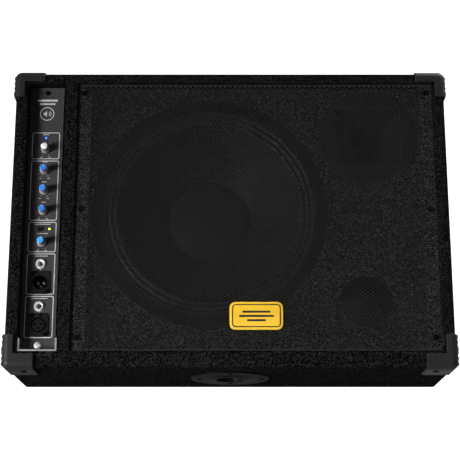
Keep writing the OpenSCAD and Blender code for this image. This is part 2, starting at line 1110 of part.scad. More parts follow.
module amp_tray() {
    t = 1.2;
    x1 = -in_x + 0.8;
    x2 = part_x1 - 0.8;
    color([0.62, 0.63, 0.65])
        difference() {
            block(x1, x2, panel_y1, panel_y2, tray_back, panel_z - panel_t);
            block(x1 + t, x2 - t, panel_y1 + t, panel_y2 - t, tray_back + t, 0);
            cable_way();
            // way for the mains lead
            translate([panel_x, 120, tray_back - 2])
                cylinder(r = 8, h = 6);
        }
}

// Circuit board with the five potentiometers soldered to its face.
module control_board() {
    board_z = panel_z - 16;
    color([0.05, 0.3, 0.14]) {
        difference() {
            block(panel_x - 19, panel_x + 19, 152, 335, board_z - 1.6, board_z);
            translate([button_at[0], button_at[1], board_z - 5])
                cylinder(r = 3.4, h = 10);
        }
        for (y = knob_ys)
            translate([panel_x, y, board_z + 0.05])
                difference() {
                    union() {
                        translate([-6, -6, 0])
                            cube([12, 12, 11]);
                        cylinder(r = 3.6, h = 15.6);
                    }
                    translate([0, 0, 2])
                        cylinder(r = shaft_r + 0.08, h = 20);
                }
    }
}

// Fluted knob body with its D shaft; the shaft is a second solid in the same node.
module knob(y) {
    foot = panel_z + knob_lift;
    color([0.42, 0.42, 0.43])
        translate([panel_x, y, foot])
            difference() {
                union() {
                    cylinder(r = knob_r, h = 3);
                    translate([0, 0, 3 - eps])
                        cylinder(r1 = knob_r - 0.7, r2 = knob_r - 1.4, h = knob_h - 3 + eps);
                    translate([-0.5, 0, 0])
                        cube([1, knob_r - 0.4, 3.6]);
                }
                translate([0, 0, -1])
                    cylinder(r = shaft_r + 0.03, h = 9);
            }
    color([0.7, 0.7, 0.7])
        translate([panel_x, y, foot - 13])
            cylinder(r = shaft_r, h = 20.5);
}

module knob_cap(y, tint) {
    color(tint)
        translate([panel_x, y, panel_z + knob_lift + knob_h])
            difference() {
                cylinder(r1 = knob_r - 1.5, r2 = knob_r - 2, h = cap_h);
                translate([0, knob_r / 2, cap_h])
                    cube([0.8, knob_r - 1, 0.8], center = true);
            }
}

module filter_button() {
    color([0.06, 0.06, 0.06])
        translate([button_at[0], button_at[1], panel_z - 17])
            cylinder(r = 3, h = 20.5);
}

module leds() {
    tints = [[0.15, 0.35, 1], [0.5, 0.05, 0.04], [0.95, 0.95, 0.2]];
    for (i = [0 : 2])
        color(tints[i])
            translate([led_at[i][0], led_at[i][1], panel_z])
                union() {
                    translate([0, 0, -9])
                        cylinder(r = led_r, h = 9.6);
                    translate([0, 0, 0.6])
                        sphere(r = led_r);
                }
}

// 6.35 mm jack sockets: a box body, a threaded sleeve and a separate ring nut.
module jack_sockets() {
    sleeve_r = 5.7;
    for (y = jack_ys)
        translate([panel_x, y, panel_z]) {
            color([0.1, 0.1, 0.1])
                difference() {
                    union() {
                        block(-8, 8, -9, 9, 3 - jack_len - 2, -panel_t - 0.1);
                        translate([0, 0, -panel_t - 1])
                            cylinder(r = sleeve_r, h = panel_t + 4);
                    }
                    translate([0, 0, 3 - jack_len])
                        cylinder(r = jack_bore_r, h = jack_len + 10);
                }
            color([0.78, 0.78, 0.78])
                translate([0, 0, 0.02])
                    difference() {
                        cylinder(r = 7.4, h = 2);
                        translate([0, 0, -1])
                            cylinder(r = sleeve_r + 0.05, h = 6);
                    }
        }
}

// Flange and barrel shared by both XLR connectors.
module xlr_flange() {
    difference() {
        union() {
            round_plate(26, 31, 4, xlr_plate_t);
            translate([0, 0, -26])
                cylinder(r = xlr_barrel_r, h = 27);
            cylinder(r = xlr_r + 1.2, h = xlr_lip);
        }
        for (p = xlr_screws)
            translate([p[0], p[1], 0])
                machine_hole();
    }
}

module pin_places() {
    for (p = [[-3.9, 0.9], [3.9, 0.9], [0, -4.1]])
        translate([p[0], p[1], 0])
            children();
}

// Male outlet: a shell and three pins.
module xlr_output() {
    deep = 18;
    translate([panel_x, male_y, panel_z]) {
        color([0.07, 0.07, 0.07])
            difference() {
                xlr_flange();
                translate([0, 0, xlr_lip - deep])
                    cylinder(r = xlr_r, h = deep + 5);
            }
        color([0.8, 0.8, 0.8])
            pin_places()
                translate([0, 0, xlr_lip - deep])
                    cylinder(r = 1.15, h = 12);
    }
}

// Female inlet: a ring groove round a core with three holes.
module xlr_input() {
    deep = 14;
    color([0.07, 0.07, 0.07])
        translate([panel_x, female_y, panel_z])
            difference() {
                xlr_flange();
                translate([0, 0, xlr_lip - deep])
                    ring(xlr_r - 1.5, xlr_r, deep + 5);
                pin_places()
                    translate([0, 0, xlr_lip - deep])
                        cylinder(r = 1.5, h = deep + 5);
            }
}

// Power board on the tray's wall with its transformer, capacitors and heat sink bar.
module amp_board() {
    wall_x = -in_x + 4;
    color([0.05, 0.3, 0.14])
        block(wall_x, wall_x + 1.6, 40, 350, -132, -62);
    color([0.75, 0.7, 0.2])
        block(wall_x + 1.65, wall_x + 34, 70, 112, -120, -78);
    color([0.12, 0.12, 0.14])
        for (y = [134, 160, 186])
            translate([wall_x + 1.65, y, -88])
                rotate([0, 90, 0])
                    cylinder(r = 11, h = 30);
    color([0.7, 0.71, 0.73])
        difference() {
            block(wall_x + 1.65, wall_x + 32, 222, 322, -108, -80);
            for (y = [230 : 12 : 314])
                block(wall_x + 8, wall_x + 40, y, y + 7, -110, -88);
        }
}

module rear_plate() {
    color([0.12, 0.12, 0.12])
        difference() {
            at_back()
                difference() {
                    translate([0, -(rear_z[0] + rear_z[1]) / 2, 0])
                        round_plate(rear_w, rear_z[1] - rear_z[0], 3, 2);
                    translate([-14.1, -inlet_z - 12.1, -1])
                        cube([28.2, 24.2, 5]);
                    translate([-7.1, -rocker_z - 10.6, -1])
                        cube([14.2, 21.2, 5]);
                    // cooling slots
                    for (z = [156 : 7 : 177])
                        translate([-16, -z - 1.5, -1])
                            cube([32, 3, 5]);
                }
            at_rear_screws()
                screw_hole();
        }
}

module mains_inlet() {
    color([0.05, 0.05, 0.05])
        at_back()
            translate([0, -inlet_z, 2.02])
                difference() {
                    union() {
                        round_plate(33, 28, 3, 2.2);
                        block(-14, 14, -12, 12, -24, 1);
                    }
                    block(-12, 12, -8, 8.5, -17, 5);
                }
    color([0.8, 0.8, 0.8])
        at_back()
            translate([0, -inlet_z, -15])
                for (p = [[-7, -2], [7, -2], [0, 3]])
                    block(p[0] - 0.9, p[0] + 0.9, p[1] - 2, p[1] + 2, 0, 14);
}

// Rocker that turns on a cross pin just under the plate, shown with its upper end pressed.
module power_rocker() {
    color([0.5, 0.06, 0.05])
        at_back()
            translate([0, -rocker_z, 0.5])
                rotate([-rocker_swing, 0, 0])
                    union() {
                        rotate([0, 90, 0])
                            translate([0, 0, -6.6])
                                cylinder(r = 3.4, h = 13.2);
                        translate([-6.6, -9.4, 0])
                            cube([13.2, 18.8, 3.4]);
                    }
}

// Two leads from the tray: one bends round to the woofer's frame, one runs straight to the driver.
module speaker_leads() {
    r = 2.4;
    bend = 20;
    start_x = part_x1 - 8;
    woofer_y = lead_way[0] + 4;
    driver_y = lead_way[0] - 4;
    driver_z = lead_way[1] - 9;
    frame_gap = 0.6;
    off = horn_at[1] - driver_y;
    driver_x = horn_at[0] - sqrt(driver_r * driver_r - off * off) - frame_gap;
    color([0.35, 0.05, 0.05]) {
        translate([start_x, woofer_y, lead_way[1] + 9]) {
            rotate([0, 90, 0])
                cylinder(r = r, h = woofer_at[0] - bend - start_x);
            translate([woofer_at[0] - bend - start_x, -bend, 0])
                rotate_extrude(angle = 90)
                    translate([bend, 0])
                        circle(r = r);
            translate([woofer_at[0] - start_x, -bend, 0])
                rotate([90, 0, 0])
                    cylinder(r = r, h = woofer_y - bend - woofer_at[1] - bowl_low[0] - frame_gap);
        }
        translate([start_x, driver_y, driver_z])
            rotate([0, 90, 0])
                cylinder(r = r, h = driver_x - start_x);
    }
}

// ---------- assembly ----------
place_front() {
    side_panel(-1);  // side_panel_left
    side_panel(1);  // side_panel_right
    top_panel();
    socket_panel();
    floor_panel();
    back_panel();
    amp_partition();
    baffle_board();
    baffle_battens();
    carpet_cover();
    baffle_carpet();
    wadding();
    handle_dish();
    handle_grip();
    corner_protectors();
    cabinet_screws();
    rubber_feet();
    pole_socket();
    port_tube();
    grille();
    badge();
    baffle_screws();
    woofer_frame();
    woofer_gasket();
    woofer_surround();
    woofer_cone();
    dust_cap();
    voice_coil();
    woofer_spider();
    woofer_top_plate();
    woofer_magnet();
    woofer_yoke();
    horn();
    compression_driver();
    control_panel();
    panel_screws();
    panel_end_screw();
    panel_bracket();
    amp_tray();
    control_board();
    knob(level_y);  // level_knob
    knob(high_y);  // high_knob
    knob(mid_y);  // mid_knob
    knob(low_y);  // low_knob
    knob(filter_y);  // filter_knob
    knob_cap(level_y, [0.92, 0.92, 0.92]);  // level_cap
    knob_cap(high_y, [0.08, 0.32, 0.75]);  // high_cap
    knob_cap(mid_y, [0.08, 0.32, 0.75]);  // mid_cap
    knob_cap(low_y, [0.08, 0.32, 0.75]);  // low_cap
    knob_cap(filter_y, [0.1, 0.5, 0.9]);  // filter_cap
    jack_sockets();
    xlr_output();
    xlr_input();
    filter_button();
    leds();
    amp_board();
    rear_plate();
    mains_inlet();
    power_rocker();
    speaker_leads();
}
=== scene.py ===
"""Looks of the stage monitor wedge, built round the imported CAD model.

Most pieces are drawn in the front frame: x across the cabinet, y up the slanted front from its lower
edge, z out of the rim of the front. FRONT turns that frame into the row frame. Lengths are metres.
"""
import json
import math

import bmesh
import bpy
from mathutils import Matrix, Vector, noise


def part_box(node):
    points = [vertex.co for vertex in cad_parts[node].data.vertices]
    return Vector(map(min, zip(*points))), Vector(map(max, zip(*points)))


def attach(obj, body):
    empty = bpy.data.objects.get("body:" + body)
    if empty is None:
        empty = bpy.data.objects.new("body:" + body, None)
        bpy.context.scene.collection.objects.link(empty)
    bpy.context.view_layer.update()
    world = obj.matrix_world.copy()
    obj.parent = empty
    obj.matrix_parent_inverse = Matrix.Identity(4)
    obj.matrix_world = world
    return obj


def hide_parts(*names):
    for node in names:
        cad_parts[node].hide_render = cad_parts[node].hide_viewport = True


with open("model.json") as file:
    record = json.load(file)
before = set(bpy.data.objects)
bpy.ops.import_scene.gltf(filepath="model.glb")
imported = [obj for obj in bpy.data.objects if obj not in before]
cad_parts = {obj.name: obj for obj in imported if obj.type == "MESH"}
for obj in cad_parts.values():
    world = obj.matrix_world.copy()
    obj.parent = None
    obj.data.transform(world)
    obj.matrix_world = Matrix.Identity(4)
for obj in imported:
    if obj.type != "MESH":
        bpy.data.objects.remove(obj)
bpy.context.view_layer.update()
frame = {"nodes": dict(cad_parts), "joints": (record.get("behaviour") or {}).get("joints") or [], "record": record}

MM = 0.001
TAU = 2 * math.pi
CABINET = "cabinet"
NODES = frame["nodes"]
JOINTS = {j["name"]: j for j in frame["joints"]}
MOUNTS = {m["name"]: m for m in frame["record"]["mounts"]}

# ---------------------------------------------------------------- frames and places

NORMAL = Vector(JOINTS["cone_travel"]["axis"])
TURN = Matrix.Rotation(math.atan2(-NORMAL.y, NORMAL.z), 4, "X")


def turned_box(node, unturn):
    """Corners of a node's box after its vertices go through unturn."""
    points = [unturn @ v.co for v in NODES[node].data.vertices]
    low = Vector(min(p[i] for p in points) for i in range(3))
    high = Vector(max(p[i] for p in points) for i in range(3))
    return low, high


_low, _high = turned_box("carpet_cover", TURN.inverted())
FRONT = Matrix.Translation(TURN @ Vector((0, _low.y, _high.z))) @ TURN
TO_FRONT = FRONT.inverted()
FRONT_LEN = _high.y - _low.y
ROW = Matrix.Identity(4)


def front_box(node):
    return turned_box(node, TO_FRONT)


def front_point(joint):
    """A hinge's place in the front frame."""
    return TO_FRONT @ Vector(JOINTS[joint]["pos_m"])


def mount_point(name):
    return TO_FRONT @ Vector(MOUNTS[name]["pos_m"])


CARPET_LOW, CARPET_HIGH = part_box("carpet_cover")
HALF_W = CARPET_HIGH.x
BACK_Y = CARPET_HIGH.y
FLOOR_Z = CARPET_LOW.z
CARPET_T = HALF_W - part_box("side_panel_right")[1].x
BAFFLE_LOW, BAFFLE_HIGH = front_box("baffle_board")
PARTITION_X = front_box("amp_partition")[0].x
PANEL_LOW, PANEL_HIGH = front_box("control_panel")
PANEL_X = (PANEL_LOW.x + PANEL_HIGH.x) / 2
PANEL_Z = PANEL_HIGH.z
GRILLE_LOW, GRILLE_HIGH = front_box("grille")
OPEN_LOW = BAFFLE_LOW.y
OPEN_HIGH = BAFFLE_HIGH.y

# ---------------------------------------------------------------- materials


def grey(value):
    return (value, value, value)


class Nodes:
    """A few shorthand calls for a material's node tree."""

    def __init__(self, name):
        self.material = bpy.data.materials.new(name)
        self.material.use_nodes = True
        self.tree = self.material.node_tree
        self.bsdf = self.tree.nodes["Principled BSDF"]

    def new(self, kind, **values):
        node = self.tree.nodes.new(kind)
        for key, value in values.items():
            if hasattr(node, key):
                setattr(node, key, value)
            else:
                node.inputs[key.replace("_", " ")].default_value = value
        return node

    def link(self, output, target):
        self.tree.links.new(output, target)

    def coords(self, stretch=(1, 1, 1), turn=(0, 0, 0)):
        place = self.new("ShaderNodeTexCoord")
        mapping = self.new("ShaderNodeMapping")
        mapping.inputs["Scale"].default_value = stretch
        mapping.inputs["Rotation"].default_value = turn
        self.link(place.outputs["Object"], mapping.inputs["Vector"])
        return mapping.outputs["Vector"]

    def noise(self, vector, scale, detail=4, rough=0.6):
        node = self.new("ShaderNodeTexNoise", Scale=scale, Detail=detail, Roughness=rough)
        self.link(vector, node.inputs["Vector"])
        return node.outputs["Fac"]

    def spread(self, value, low, high, new_low, new_high):
        node = self.new("ShaderNodeMapRange")
        keys = ("From Min", "From Max", "To Min", "To Max")
        for key, number in zip(keys, (low, high, new_low, new_high)):
            node.inputs[key].default_value = number
        self.link(value, node.inputs["Value"])
        return node.outputs["Result"]

    def mix(self, factor, first, second):
        node = self.new("ShaderNodeMix", data_type="RGBA")
        for socket, colour in ((node.inputs[6], first), (node.inputs[7], second)):
            if isinstance(colour, tuple):
                socket.default_value = (*colour, 1)
            else:
                self.link(colour, socket)
        self.link(factor, node.inputs["Factor"])
        return node.outputs[2]

    def bump(self, height, depth, strength=1.0, under=None):
        node = self.new("ShaderNodeBump", Strength=strength, Distance=depth)
        self.link(height, node.inputs["Height"])
        if under:
            self.link(under, node.inputs["Normal"])
        return node.outputs["Normal"]

    def surface(self, colour=None, roughness=None, normal=None, **values):
        for output, key in ((colour, "Base Color"), (roughness, "Roughness"), (normal, "Normal")):
            if output is not None:
                self.link(output, self.bsdf.inputs[key])
        for key, value in values.items():
            self.bsdf.inputs[key.replace("_", " ")].default_value = value
        return self.material


def finish(name, dark, light, rough, scale=300, grain=0.0, spread=0.08, stretch=(1, 1, 1), **values):
    """A moulded, painted or plated finish: two shades, uneven roughness and a fine grain."""
    n = Nodes(name)
    vector = n.coords(stretch)
    broad = n.noise(vector, scale * 0.12, 3)
    fine = n.noise(vector, scale * 4, 2)
    tone = n.spread(broad, 0.3, 0.7, 0, 1)
    roughness = n.spread(fine, 0.25, 0.75, rough - spread, rough + spread)
    normal = n.bump(fine, grain) if grain else None
    return n.surface(n.mix(tone, dark, light), roughness, normal, **values)


def dull(name, dark, light, rough, scale, grain, shine):
    """A grey or black finish, its grain in millimetres."""
    return finish(name, grey(dark), grey(light), rough, scale, grain * MM, Specular_IOR_Level=shine)


def carpet_material(name, shade, fleck_shade):
    """Needle-punched carpet: near-black tangled fibre flecked with paler fibres."""
    n = Nodes(name)
    vector = n.coords()
    bend = n.new("ShaderNodeTexNoise", Scale=620.0, Detail=2.0)
    n.link(vector, bend.inputs["Vector"])
    shift = n.new("ShaderNodeVectorMath", operation="SCALE")
    n.link(bend.outputs["Color"], shift.inputs[0])
    shift.inputs["Scale"].default_value = 1.8 * MM
    warped = n.new("ShaderNodeVectorMath", operation="ADD")
    n.link(vector, warped.inputs[0])
    n.link(shift.outputs["Vector"], warped.inputs[1])
    fleck = n.new("ShaderNodeTexVoronoi", Scale=980.0)
    n.link(warped.outputs["Vector"], fleck.inputs["Vector"])
    random_grey = n.new("ShaderNodeSeparateColor")
    n.link(fleck.outputs["Color"], random_grey.inputs["Color"])
    fibre = n.noise(vector, 1100, 3, 0.75)
    tuft = n.noise(vector, 480, 4, 0.7)
    dark = n.mix(n.spread(tuft, 0.34, 0.66, 0, 1), grey(0.0008), grey(shade))
    pale = n.spread(random_grey.outputs["Red"], 0.62, 0.8, 0, 1)
    sharp = n.new("ShaderNodeMath", operation="MULTIPLY")
    n.link(pale, sharp.inputs[0])
    n.link(n.spread(fibre, 0.42, 0.6, 0.05, 1), sharp.inputs[1])
    colour = n.mix(sharp.outputs["Value"], dark, grey(fleck_shade))
    normal = n.bump(fibre, 0.6 * MM, 0.6, n.bump(tuft, 1.4 * MM, 0.8))
    return n.surface(colour, normal=normal, Roughness=0.95, Specular_IOR_Level=0.0)


def plywood_material():
    """Birch plywood with its layers, painted black round the recess."""
    n = Nodes("plywood")
    turn = (-math.atan2(-NORMAL.y, NORMAL.z), 0, 0)
    grain = n.noise(n.coords((0.12, 1, 1)), 160, 5, 0.7)
    layers = n.new("ShaderNodeTexWave", Scale=110.0, Distortion=0.6, Detail=2.0)
    n.link(n.coords((1, 1, 1), turn), layers.inputs["Vector"])
    wood = n.mix(n.spread(grain, 0.3, 0.7, 0, 1), (0.42, 0.27, 0.14), (0.66, 0.48, 0.29))
    bare = n.mix(n.spread(layers.outputs["Fac"], 0.2, 0.8, 0, 0.35), wood, (0.3, 0.17, 0.08))
    where = n.new("ShaderNodeSeparateXYZ")
    n.link(n.coords((1, 1, 1), turn), where.inputs["Vector"])
    rim = (TURN.inverted() @ FRONT.translation).z
    painted = n.spread(where.outputs["Z"], rim - 62 * MM, rim - 60 * MM, 0, 1)
    rough = n.spread(grain, 0.3, 0.7, 0.62, 0.8)
    return n.surface(n.mix(painted, bare, grey(0.0028)), rough, n.bump(grain, 0.15 * MM),
                     Specular_IOR_Level=0.1)


def cone_material():
    """Pressed paper with fine fibres."""
    n = Nodes("cone_paper")
    vector = n.coords()
    fibre = n.noise(vector, 700, 5, 0.7)
    tone = n.spread(n.noise(vector, 60, 3), 0.3, 0.7, 0, 1)
    colour = n.mix(tone, grey(0.012), grey(0.016))
    return n.surface(colour, n.spread(fibre, 0.3, 0.7, 0.5, 0.62), n.bump(fibre, 0.03 * MM),
                     Specular_IOR_Level=0.12)


def glowing_material(name, colour, glow):
    """A lit lens."""
    n = Nodes(name)
    fade = n.new("ShaderNodeLayerWeight", Blend=0.35)
    shade = n.mix(fade.outputs["Facing"], colour, tuple(c * 0.35 for c in colour))
    n.link(shade, n.bsdf.inputs["Emission Color"])
    speckle = n.noise(n.coords(), 900, 2)
    return n.surface(shade, n.spread(speckle, 0.3, 0.7, 0.12, 0.22), Emission_Strength=glow)


CARPET = carpet_material("carpet", 0.003, 0.052)
# Paler flecks than the rim carpet: painted light, making up for the grille's shade on the baffle carpet; the
# battens behind the grille take it too.
BAFFLE_CARPET_AND_PAINTED_LIGHT = carpet_material("baffle_carpet", 0.001, 0.24)
PLYWOOD = plywood_material()
CONE = cone_material()
GUARD = finish("guard_plastic", (0.014, 0.014, 0.0142), (0.019, 0.019, 0.0192), 0.5, 500, 0.05 * MM,
               Specular_IOR_Level=0.2)
BLACK_PLASTIC = dull("black_plastic", 0.004, 0.008, 0.45, 400, 0.03, 0.12)
GRIP = dull("grip_rubber", 0.008, 0.014, 0.7, 500, 0.08, 0.2)
RUBBER = dull("foot_rubber", 0.01, 0.018, 0.8, 300, 0.08, 0.2)
CUP_PAINT = dull("socket_paint", 0.0025, 0.0045, 0.42, 350, 0.03, 0.03)
GRILLE_PAINT = dull("grille_paint", 0.019, 0.024, 0.5, 250, 0.02, 0.04)
STEEL_BLACK = dull("black_steel", 0.005, 0.009, 0.42, 260, 0.02, 0.15)
SCREW_BLACK = dull("black_zinc", 0.001, 0.0028, 0.4, 900, 0.02, 0.06)
ZINC = finish("bright_zinc", (0.62, 0.62, 0.63), grey(0.78), 0.34, 500, 0.02 * MM, stretch=(1, 6, 1),
              Metallic=0.85)
CHROME = finish("nickel", grey(0.78), (0.88, 0.88, 0.87), 0.3, 700, 0.01 * MM, Metallic=0.4)
GALVANISED = finish("galvanised", (0.1, 0.1, 0.105), (0.2, 0.2, 0.21), 0.45, 120, 0.02 * MM, Metallic=0.8)
MOTOR_STEEL = finish("motor_steel", (0.4, 0.4, 0.42), (0.56, 0.57, 0.6), 0.35, 300, 0.01 * MM, Metallic=0.9)
FERRITE = finish("ferrite", (0.02, 0.02, 0.022), (0.035, 0.035, 0.038), 0.6, 300, 0.05 * MM)
COPPER = finish("coil_copper", (0.5, 0.2, 0.08), (0.68, 0.32, 0.14), 0.35, 300, 0.05 * MM,
                stretch=(1, 1, 12), Metallic=0.7)
# Black plastic made a lighter grey: painted light, making up for the grille's shade inside the horn.
HORN_PLASTIC_AND_PAINTED_LIGHT = dull("horn_plastic_and_painted_light", 0.01, 0.014, 0.5, 300, 0.02, 0.12)
WOOFER_PAINT = dull("woofer_paint", 0.0035, 0.006, 0.5, 260, 0.02, 0.08)
GASKET = dull("gasket_foam", 0.006, 0.012, 0.9, 600, 0.15, 0.05)
SURROUND = dull("surround_cloth", 0.011, 0.016, 0.5, 900, 0.03, 0.3)
SPIDER = finish("spider_cloth", (0.42, 0.26, 0.08), (0.62, 0.42, 0.16), 0.8, 900, 0.15 * MM)
WADDING = finish("wadding", (0.5, 0.5, 0.49), (0.7, 0.7, 0.68), 0.95, 260, 1.2 * MM, Specular_IOR_Level=0.0)
# Lightened to make up for the rim's shadow across the panel's left margin: partly painted light, so the panel's
# lit part is too light.
PANEL_PAINT_AND_PAINTED_LIGHT = finish("panel_paint", (0.046, 0.043, 0.047), (0.052, 0.049, 0.053), 0.55, 500, 0.02 * MM,
                     Specular_IOR_Level=0.05)
INK = finish("white_ink", grey(0.46), grey(0.6), 0.6, 900, 0.01 * MM)
KNOB_GREY = finish("knob_grey", (0.2, 0.2, 0.205), (0.3, 0.3, 0.305), 0.42, 700, 0.02 * MM)
CAP_PALE = finish("cap_pale", (0.78, 0.78, 0.8), (0.92, 0.92, 0.94), 0.28, 700, 0.01 * MM)
CAP_BLUE = finish("cap_blue", (0.02, 0.14, 0.52), (0.05, 0.24, 0.72), 0.25, 700, 0.01 * MM)
CAP_LIGHT_BLUE = finish("cap_light_blue", (0.03, 0.3, 0.8), (0.08, 0.46, 0.95), 0.25, 700, 0.01 * MM)
BOARD = finish("circuit_board", (0.008, 0.07, 0.03), (0.02, 0.14, 0.06), 0.35, 600, 0.03 * MM)
RED_PLASTIC = finish("rocker_red", (0.3, 0.012, 0.008), (0.42, 0.02, 0.015), 0.25, 600, 0.01 * MM)
LEAD_RED = finish("lead_sleeve", (0.16, 0.01, 0.01), (0.28, 0.02, 0.02), 0.5, 600, 0.04 * MM)
# Far darker than the black plastic: painted shade, deepening the dark inside the port tube.
TUBE_BLACK_AND_PAINTED_SHADE = dull("tube_black_and_painted_shade", 0.0004, 0.001, 0.8, 400, 0.02, 0.03)
SHELL_BLACK = dull("shell_black", 0.009, 0.0125, 0.5, 400, 0.02, 0.04)
BADGE_YELLOW = finish("badge_yellow", (0.78, 0.46, 0.022), (0.86, 0.53, 0.03), 0.4, 300, 0.01 * MM,
                      Coat_Weight=0.3, Coat_Roughness=0.2)
BADGE_BLACK = finish("badge_black", grey(0.01), grey(0.016), 0.45, 600, 0.01 * MM)
LED_BLUE = glowing_material("led_blue", (0.05, 0.16, 1.0), 2.6)
LED_YELLOW = glowing_material("led_yellow", (0.75, 0.85, 0.05), 2.2)
LED_RED = glowing_material("led_red", (0.12, 0.012, 0.01), 0.1)

# ---------------------------------------------------------------- mesh helpers


def linked(name, data):
    """A new object in the scene."""
    obj = bpy.data.objects.new(name, data)
    bpy.context.scene.collection.objects.link(obj)
    return obj


def add(name, mesh, material, body=CABINET, stands_for=(), place=FRONT, sharp=40):
    """Makes a piece of a mesh drawn in the place's frame, smooth except at edges over the sharp angle."""
    if isinstance(mesh, bmesh.types.BMesh):
        built = bpy.data.meshes.new(name)
        mesh.to_mesh(built)
        mesh.free()
        mesh = built
    mesh.transform(place)
    obj = linked(name, mesh)
    mesh.materials.append(material)
    mesh.polygons.foreach_set("use_smooth", [True] * len(mesh.polygons))
    mesh.set_sharp_from_angle(angle=math.radians(sharp))
    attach(obj, body)
    if stands_for:
        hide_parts(*stands_for)
    return obj


def box(low, high, bm=None):
    """A closed box between two corners."""
    bm = bm or bmesh.new()
    xs, ys, zs = zip(low, high)
    corners = [bm.verts.new((x, y, z)) for z in zs for y in ys for x in xs]
    for face in ((0, 2, 3, 1), (4, 5, 7, 6), (0, 1, 5, 4), (2, 6, 7, 3), (0, 4, 6, 2), (1, 3, 7, 5)):
        bm.faces.new([corners[i] for i in face])
    return bm


def eased(bm, edges, radius, segments):
    bmesh.ops.bevel(bm, geom=edges, offset=radius, segments=segments, profile=0.5, affect="EDGES")


def rounded_box(low, high, radius, segments=3):
    bm = box(low, high)
    eased(bm, bm.edges[:], radius, segments)
    return bm


def join(*parts):
    """One bmesh of several."""
    whole = bmesh.new()
    for part in parts:
        mesh = bpy.data.meshes.new("part")
        part.to_mesh(mesh)
        part.free()
        whole.from_mesh(mesh)
        bpy.data.meshes.remove(mesh)
    return whole


def moved(bm, *matrices):
    for matrix in matrices:
        bmesh.ops.transform(bm, matrix=matrix, verts=bm.verts)
        if matrix.determinant() < 0:
            bmesh.ops.reverse_faces(bm, faces=bm.faces)
    return bm


def at(x, y, z):
    return Matrix.Translation((x, y, z))


def turned(degrees, axis):
    return Matrix.Rotation(math.radians(degrees), 4, axis)


def lathe(profile, steps=64, wave=None):
    """Turns [(radius, height), ...] round the z axis. The profile runs so that the solid is on its left.

    A radius of zero closes on the axis. wave(angle, index) scales the radius at a profile point.
    """
    bm = bmesh.new()
    rings = []
    for index, (radius, height) in enumerate(profile):
        if radius < 1e-7:
            rings.append([bm.verts.new((0, 0, height))])
            continue
        ring = []
        for step in range(steps):
            angle = TAU * step / steps
            r = radius * (wave(angle, index) if wave else 1)
            ring.append(bm.verts.new((r * math.cos(angle), r * math.sin(angle), height)))
        rings.append(ring)
    closed = profile[0][0] > 1e-7 or profile[-1][0] > 1e-7
    pairs = list(zip(rings, rings[1:] + rings[:1]))[: None if closed else -1]
    for lower, upper in pairs:
        for step in range(steps):
            after = (step + 1) % steps
            quad = [lower[step % len(lower)], lower[after % len(lower)],
                    upper[after % len(upper)], upper[step % len(upper)]]
            corners = list(dict.fromkeys(quad))
            if len(corners) > 2:
                bm.faces.new(corners)
    bmesh.ops.recalc_face_normals(bm, faces=bm.faces)
    return bm


def rod(radius, low, high, steps):
    return lathe([(0, low), (radius, low), (radius, high), (0, high)], steps)


def fillet(points, radius, steps=4):
    """A closed outline of 2D points with its corners rounded."""
    outline = []
    count = len(points)
    for i in range(count):
        here = Vector(points[i])
        before = Vector(points[i - 1]) - here
        after = Vector(points[(i + 1) % count]) - here
        half = before.angle(after) / 2
        cut = min(radius / math.tan(half), before.length * 0.49, after.length * 0.49)
        start = here + before.normalized() * cut
        end = here + after.normalized() * cut
        for step in range(steps + 1):
            t = step / steps
            outline.append(tuple((1 - t) ** 2 * start + 2 * t * (1 - t) * here + t * t * end))
    return outline


def plate(outline, low, high, holes=(), bm=None):
    """A flat plate between heights low and high, from a closed outline, with round or other holes."""
    bm = bm or bmesh.new()
    edges = []
    for loop in (outline, *holes):
        verts = [bm.verts.new((x, y, low)) for x, y in loop]
        edges += [bm.edges.new((verts[i - 1], verts[i])) for i in range(len(verts))]
    made = bmesh.ops.triangle_fill(bm, edges=edges, use_beauty=True, use_dissolve=False)
    faces = [g for g in made["geom"] if isinstance(g, bmesh.types.BMFace)]
    lifted = bmesh.ops.extrude_face_region(bm, geom=faces)
    verts = [g for g in lifted["geom"] if isinstance(g, bmesh.types.BMVert)]
    bmesh.ops.translate(bm, verts=verts, vec=(0, 0, high - low))
    bmesh.ops.recalc_face_normals(bm, faces=bm.faces)
    return bm


def top_edges(bm, above):
    """The crisp edges of a plate's upper face."""
    return [e for e in bm.edges if all(v.co.z > above for v in e.verts) and e.calc_face_angle(0) > 1]


def circle(x, y, radius, steps=32):
    angles = [TAU * i / steps for i in range(steps)]
    return [(x + radius * math.cos(a), y + radius * math.sin(a)) for a in angles]


def rectangle(x, y, w, h):
    return [(x - w / 2, y - h / 2), (x + w / 2, y - h / 2), (x + w / 2, y + h / 2), (x - w / 2, y + h / 2)]


def evaluated(obj):
    """The object's mesh with its modifiers applied; the object itself is removed."""
    view = bpy.context.evaluated_depsgraph_get()
    view.update()
    mesh = bpy.data.meshes.new_from_object(obj.evaluated_get(view))
    bpy.data.objects.remove(obj)
    return mesh


def loose(bm_or_mesh, name="loose"):
    """A throwaway object that rides on nothing, for a modifier to work on."""
    mesh = bm_or_mesh
    if isinstance(mesh, bmesh.types.BMesh):
        mesh = bpy.data.meshes.new(name)
        bm_or_mesh.to_mesh(mesh)
        bm_or_mesh.free()
    return linked(name, mesh)


def carved(bm, *cutters):
    """The solid less each cutter, as a bmesh."""
    obj = loose(bm)
    tools = [loose(cutter, "cutter") for cutter in cutters]
    for tool in tools:
        cut = obj.modifiers.new("cut", "BOOLEAN")
        cut.operation = "DIFFERENCE"
        cut.solver = "EXACT"
        cut.object = tool
    mesh = evaluated(obj)
    for tool in tools:
        bpy.data.objects.remove(tool)
    result = bmesh.new()
    result.from_mesh(mesh)
    bpy.data.meshes.remove(mesh)
    return result


def melted(mesh, voxel, passes):
    """The mesh as one skin of small faces with soft edges, as a moulding has."""
    obj = loose(mesh)
    skin = obj.modifiers.new("skin", "REMESH")
    skin.mode = "VOXEL"
    skin.voxel_size = voxel
    soft = obj.modifiers.new("soft", "SMOOTH")
    soft.factor = 0.5
    soft.iterations = passes
    return evaluated(obj)


# ---------------------------------------------------------------- cabinet


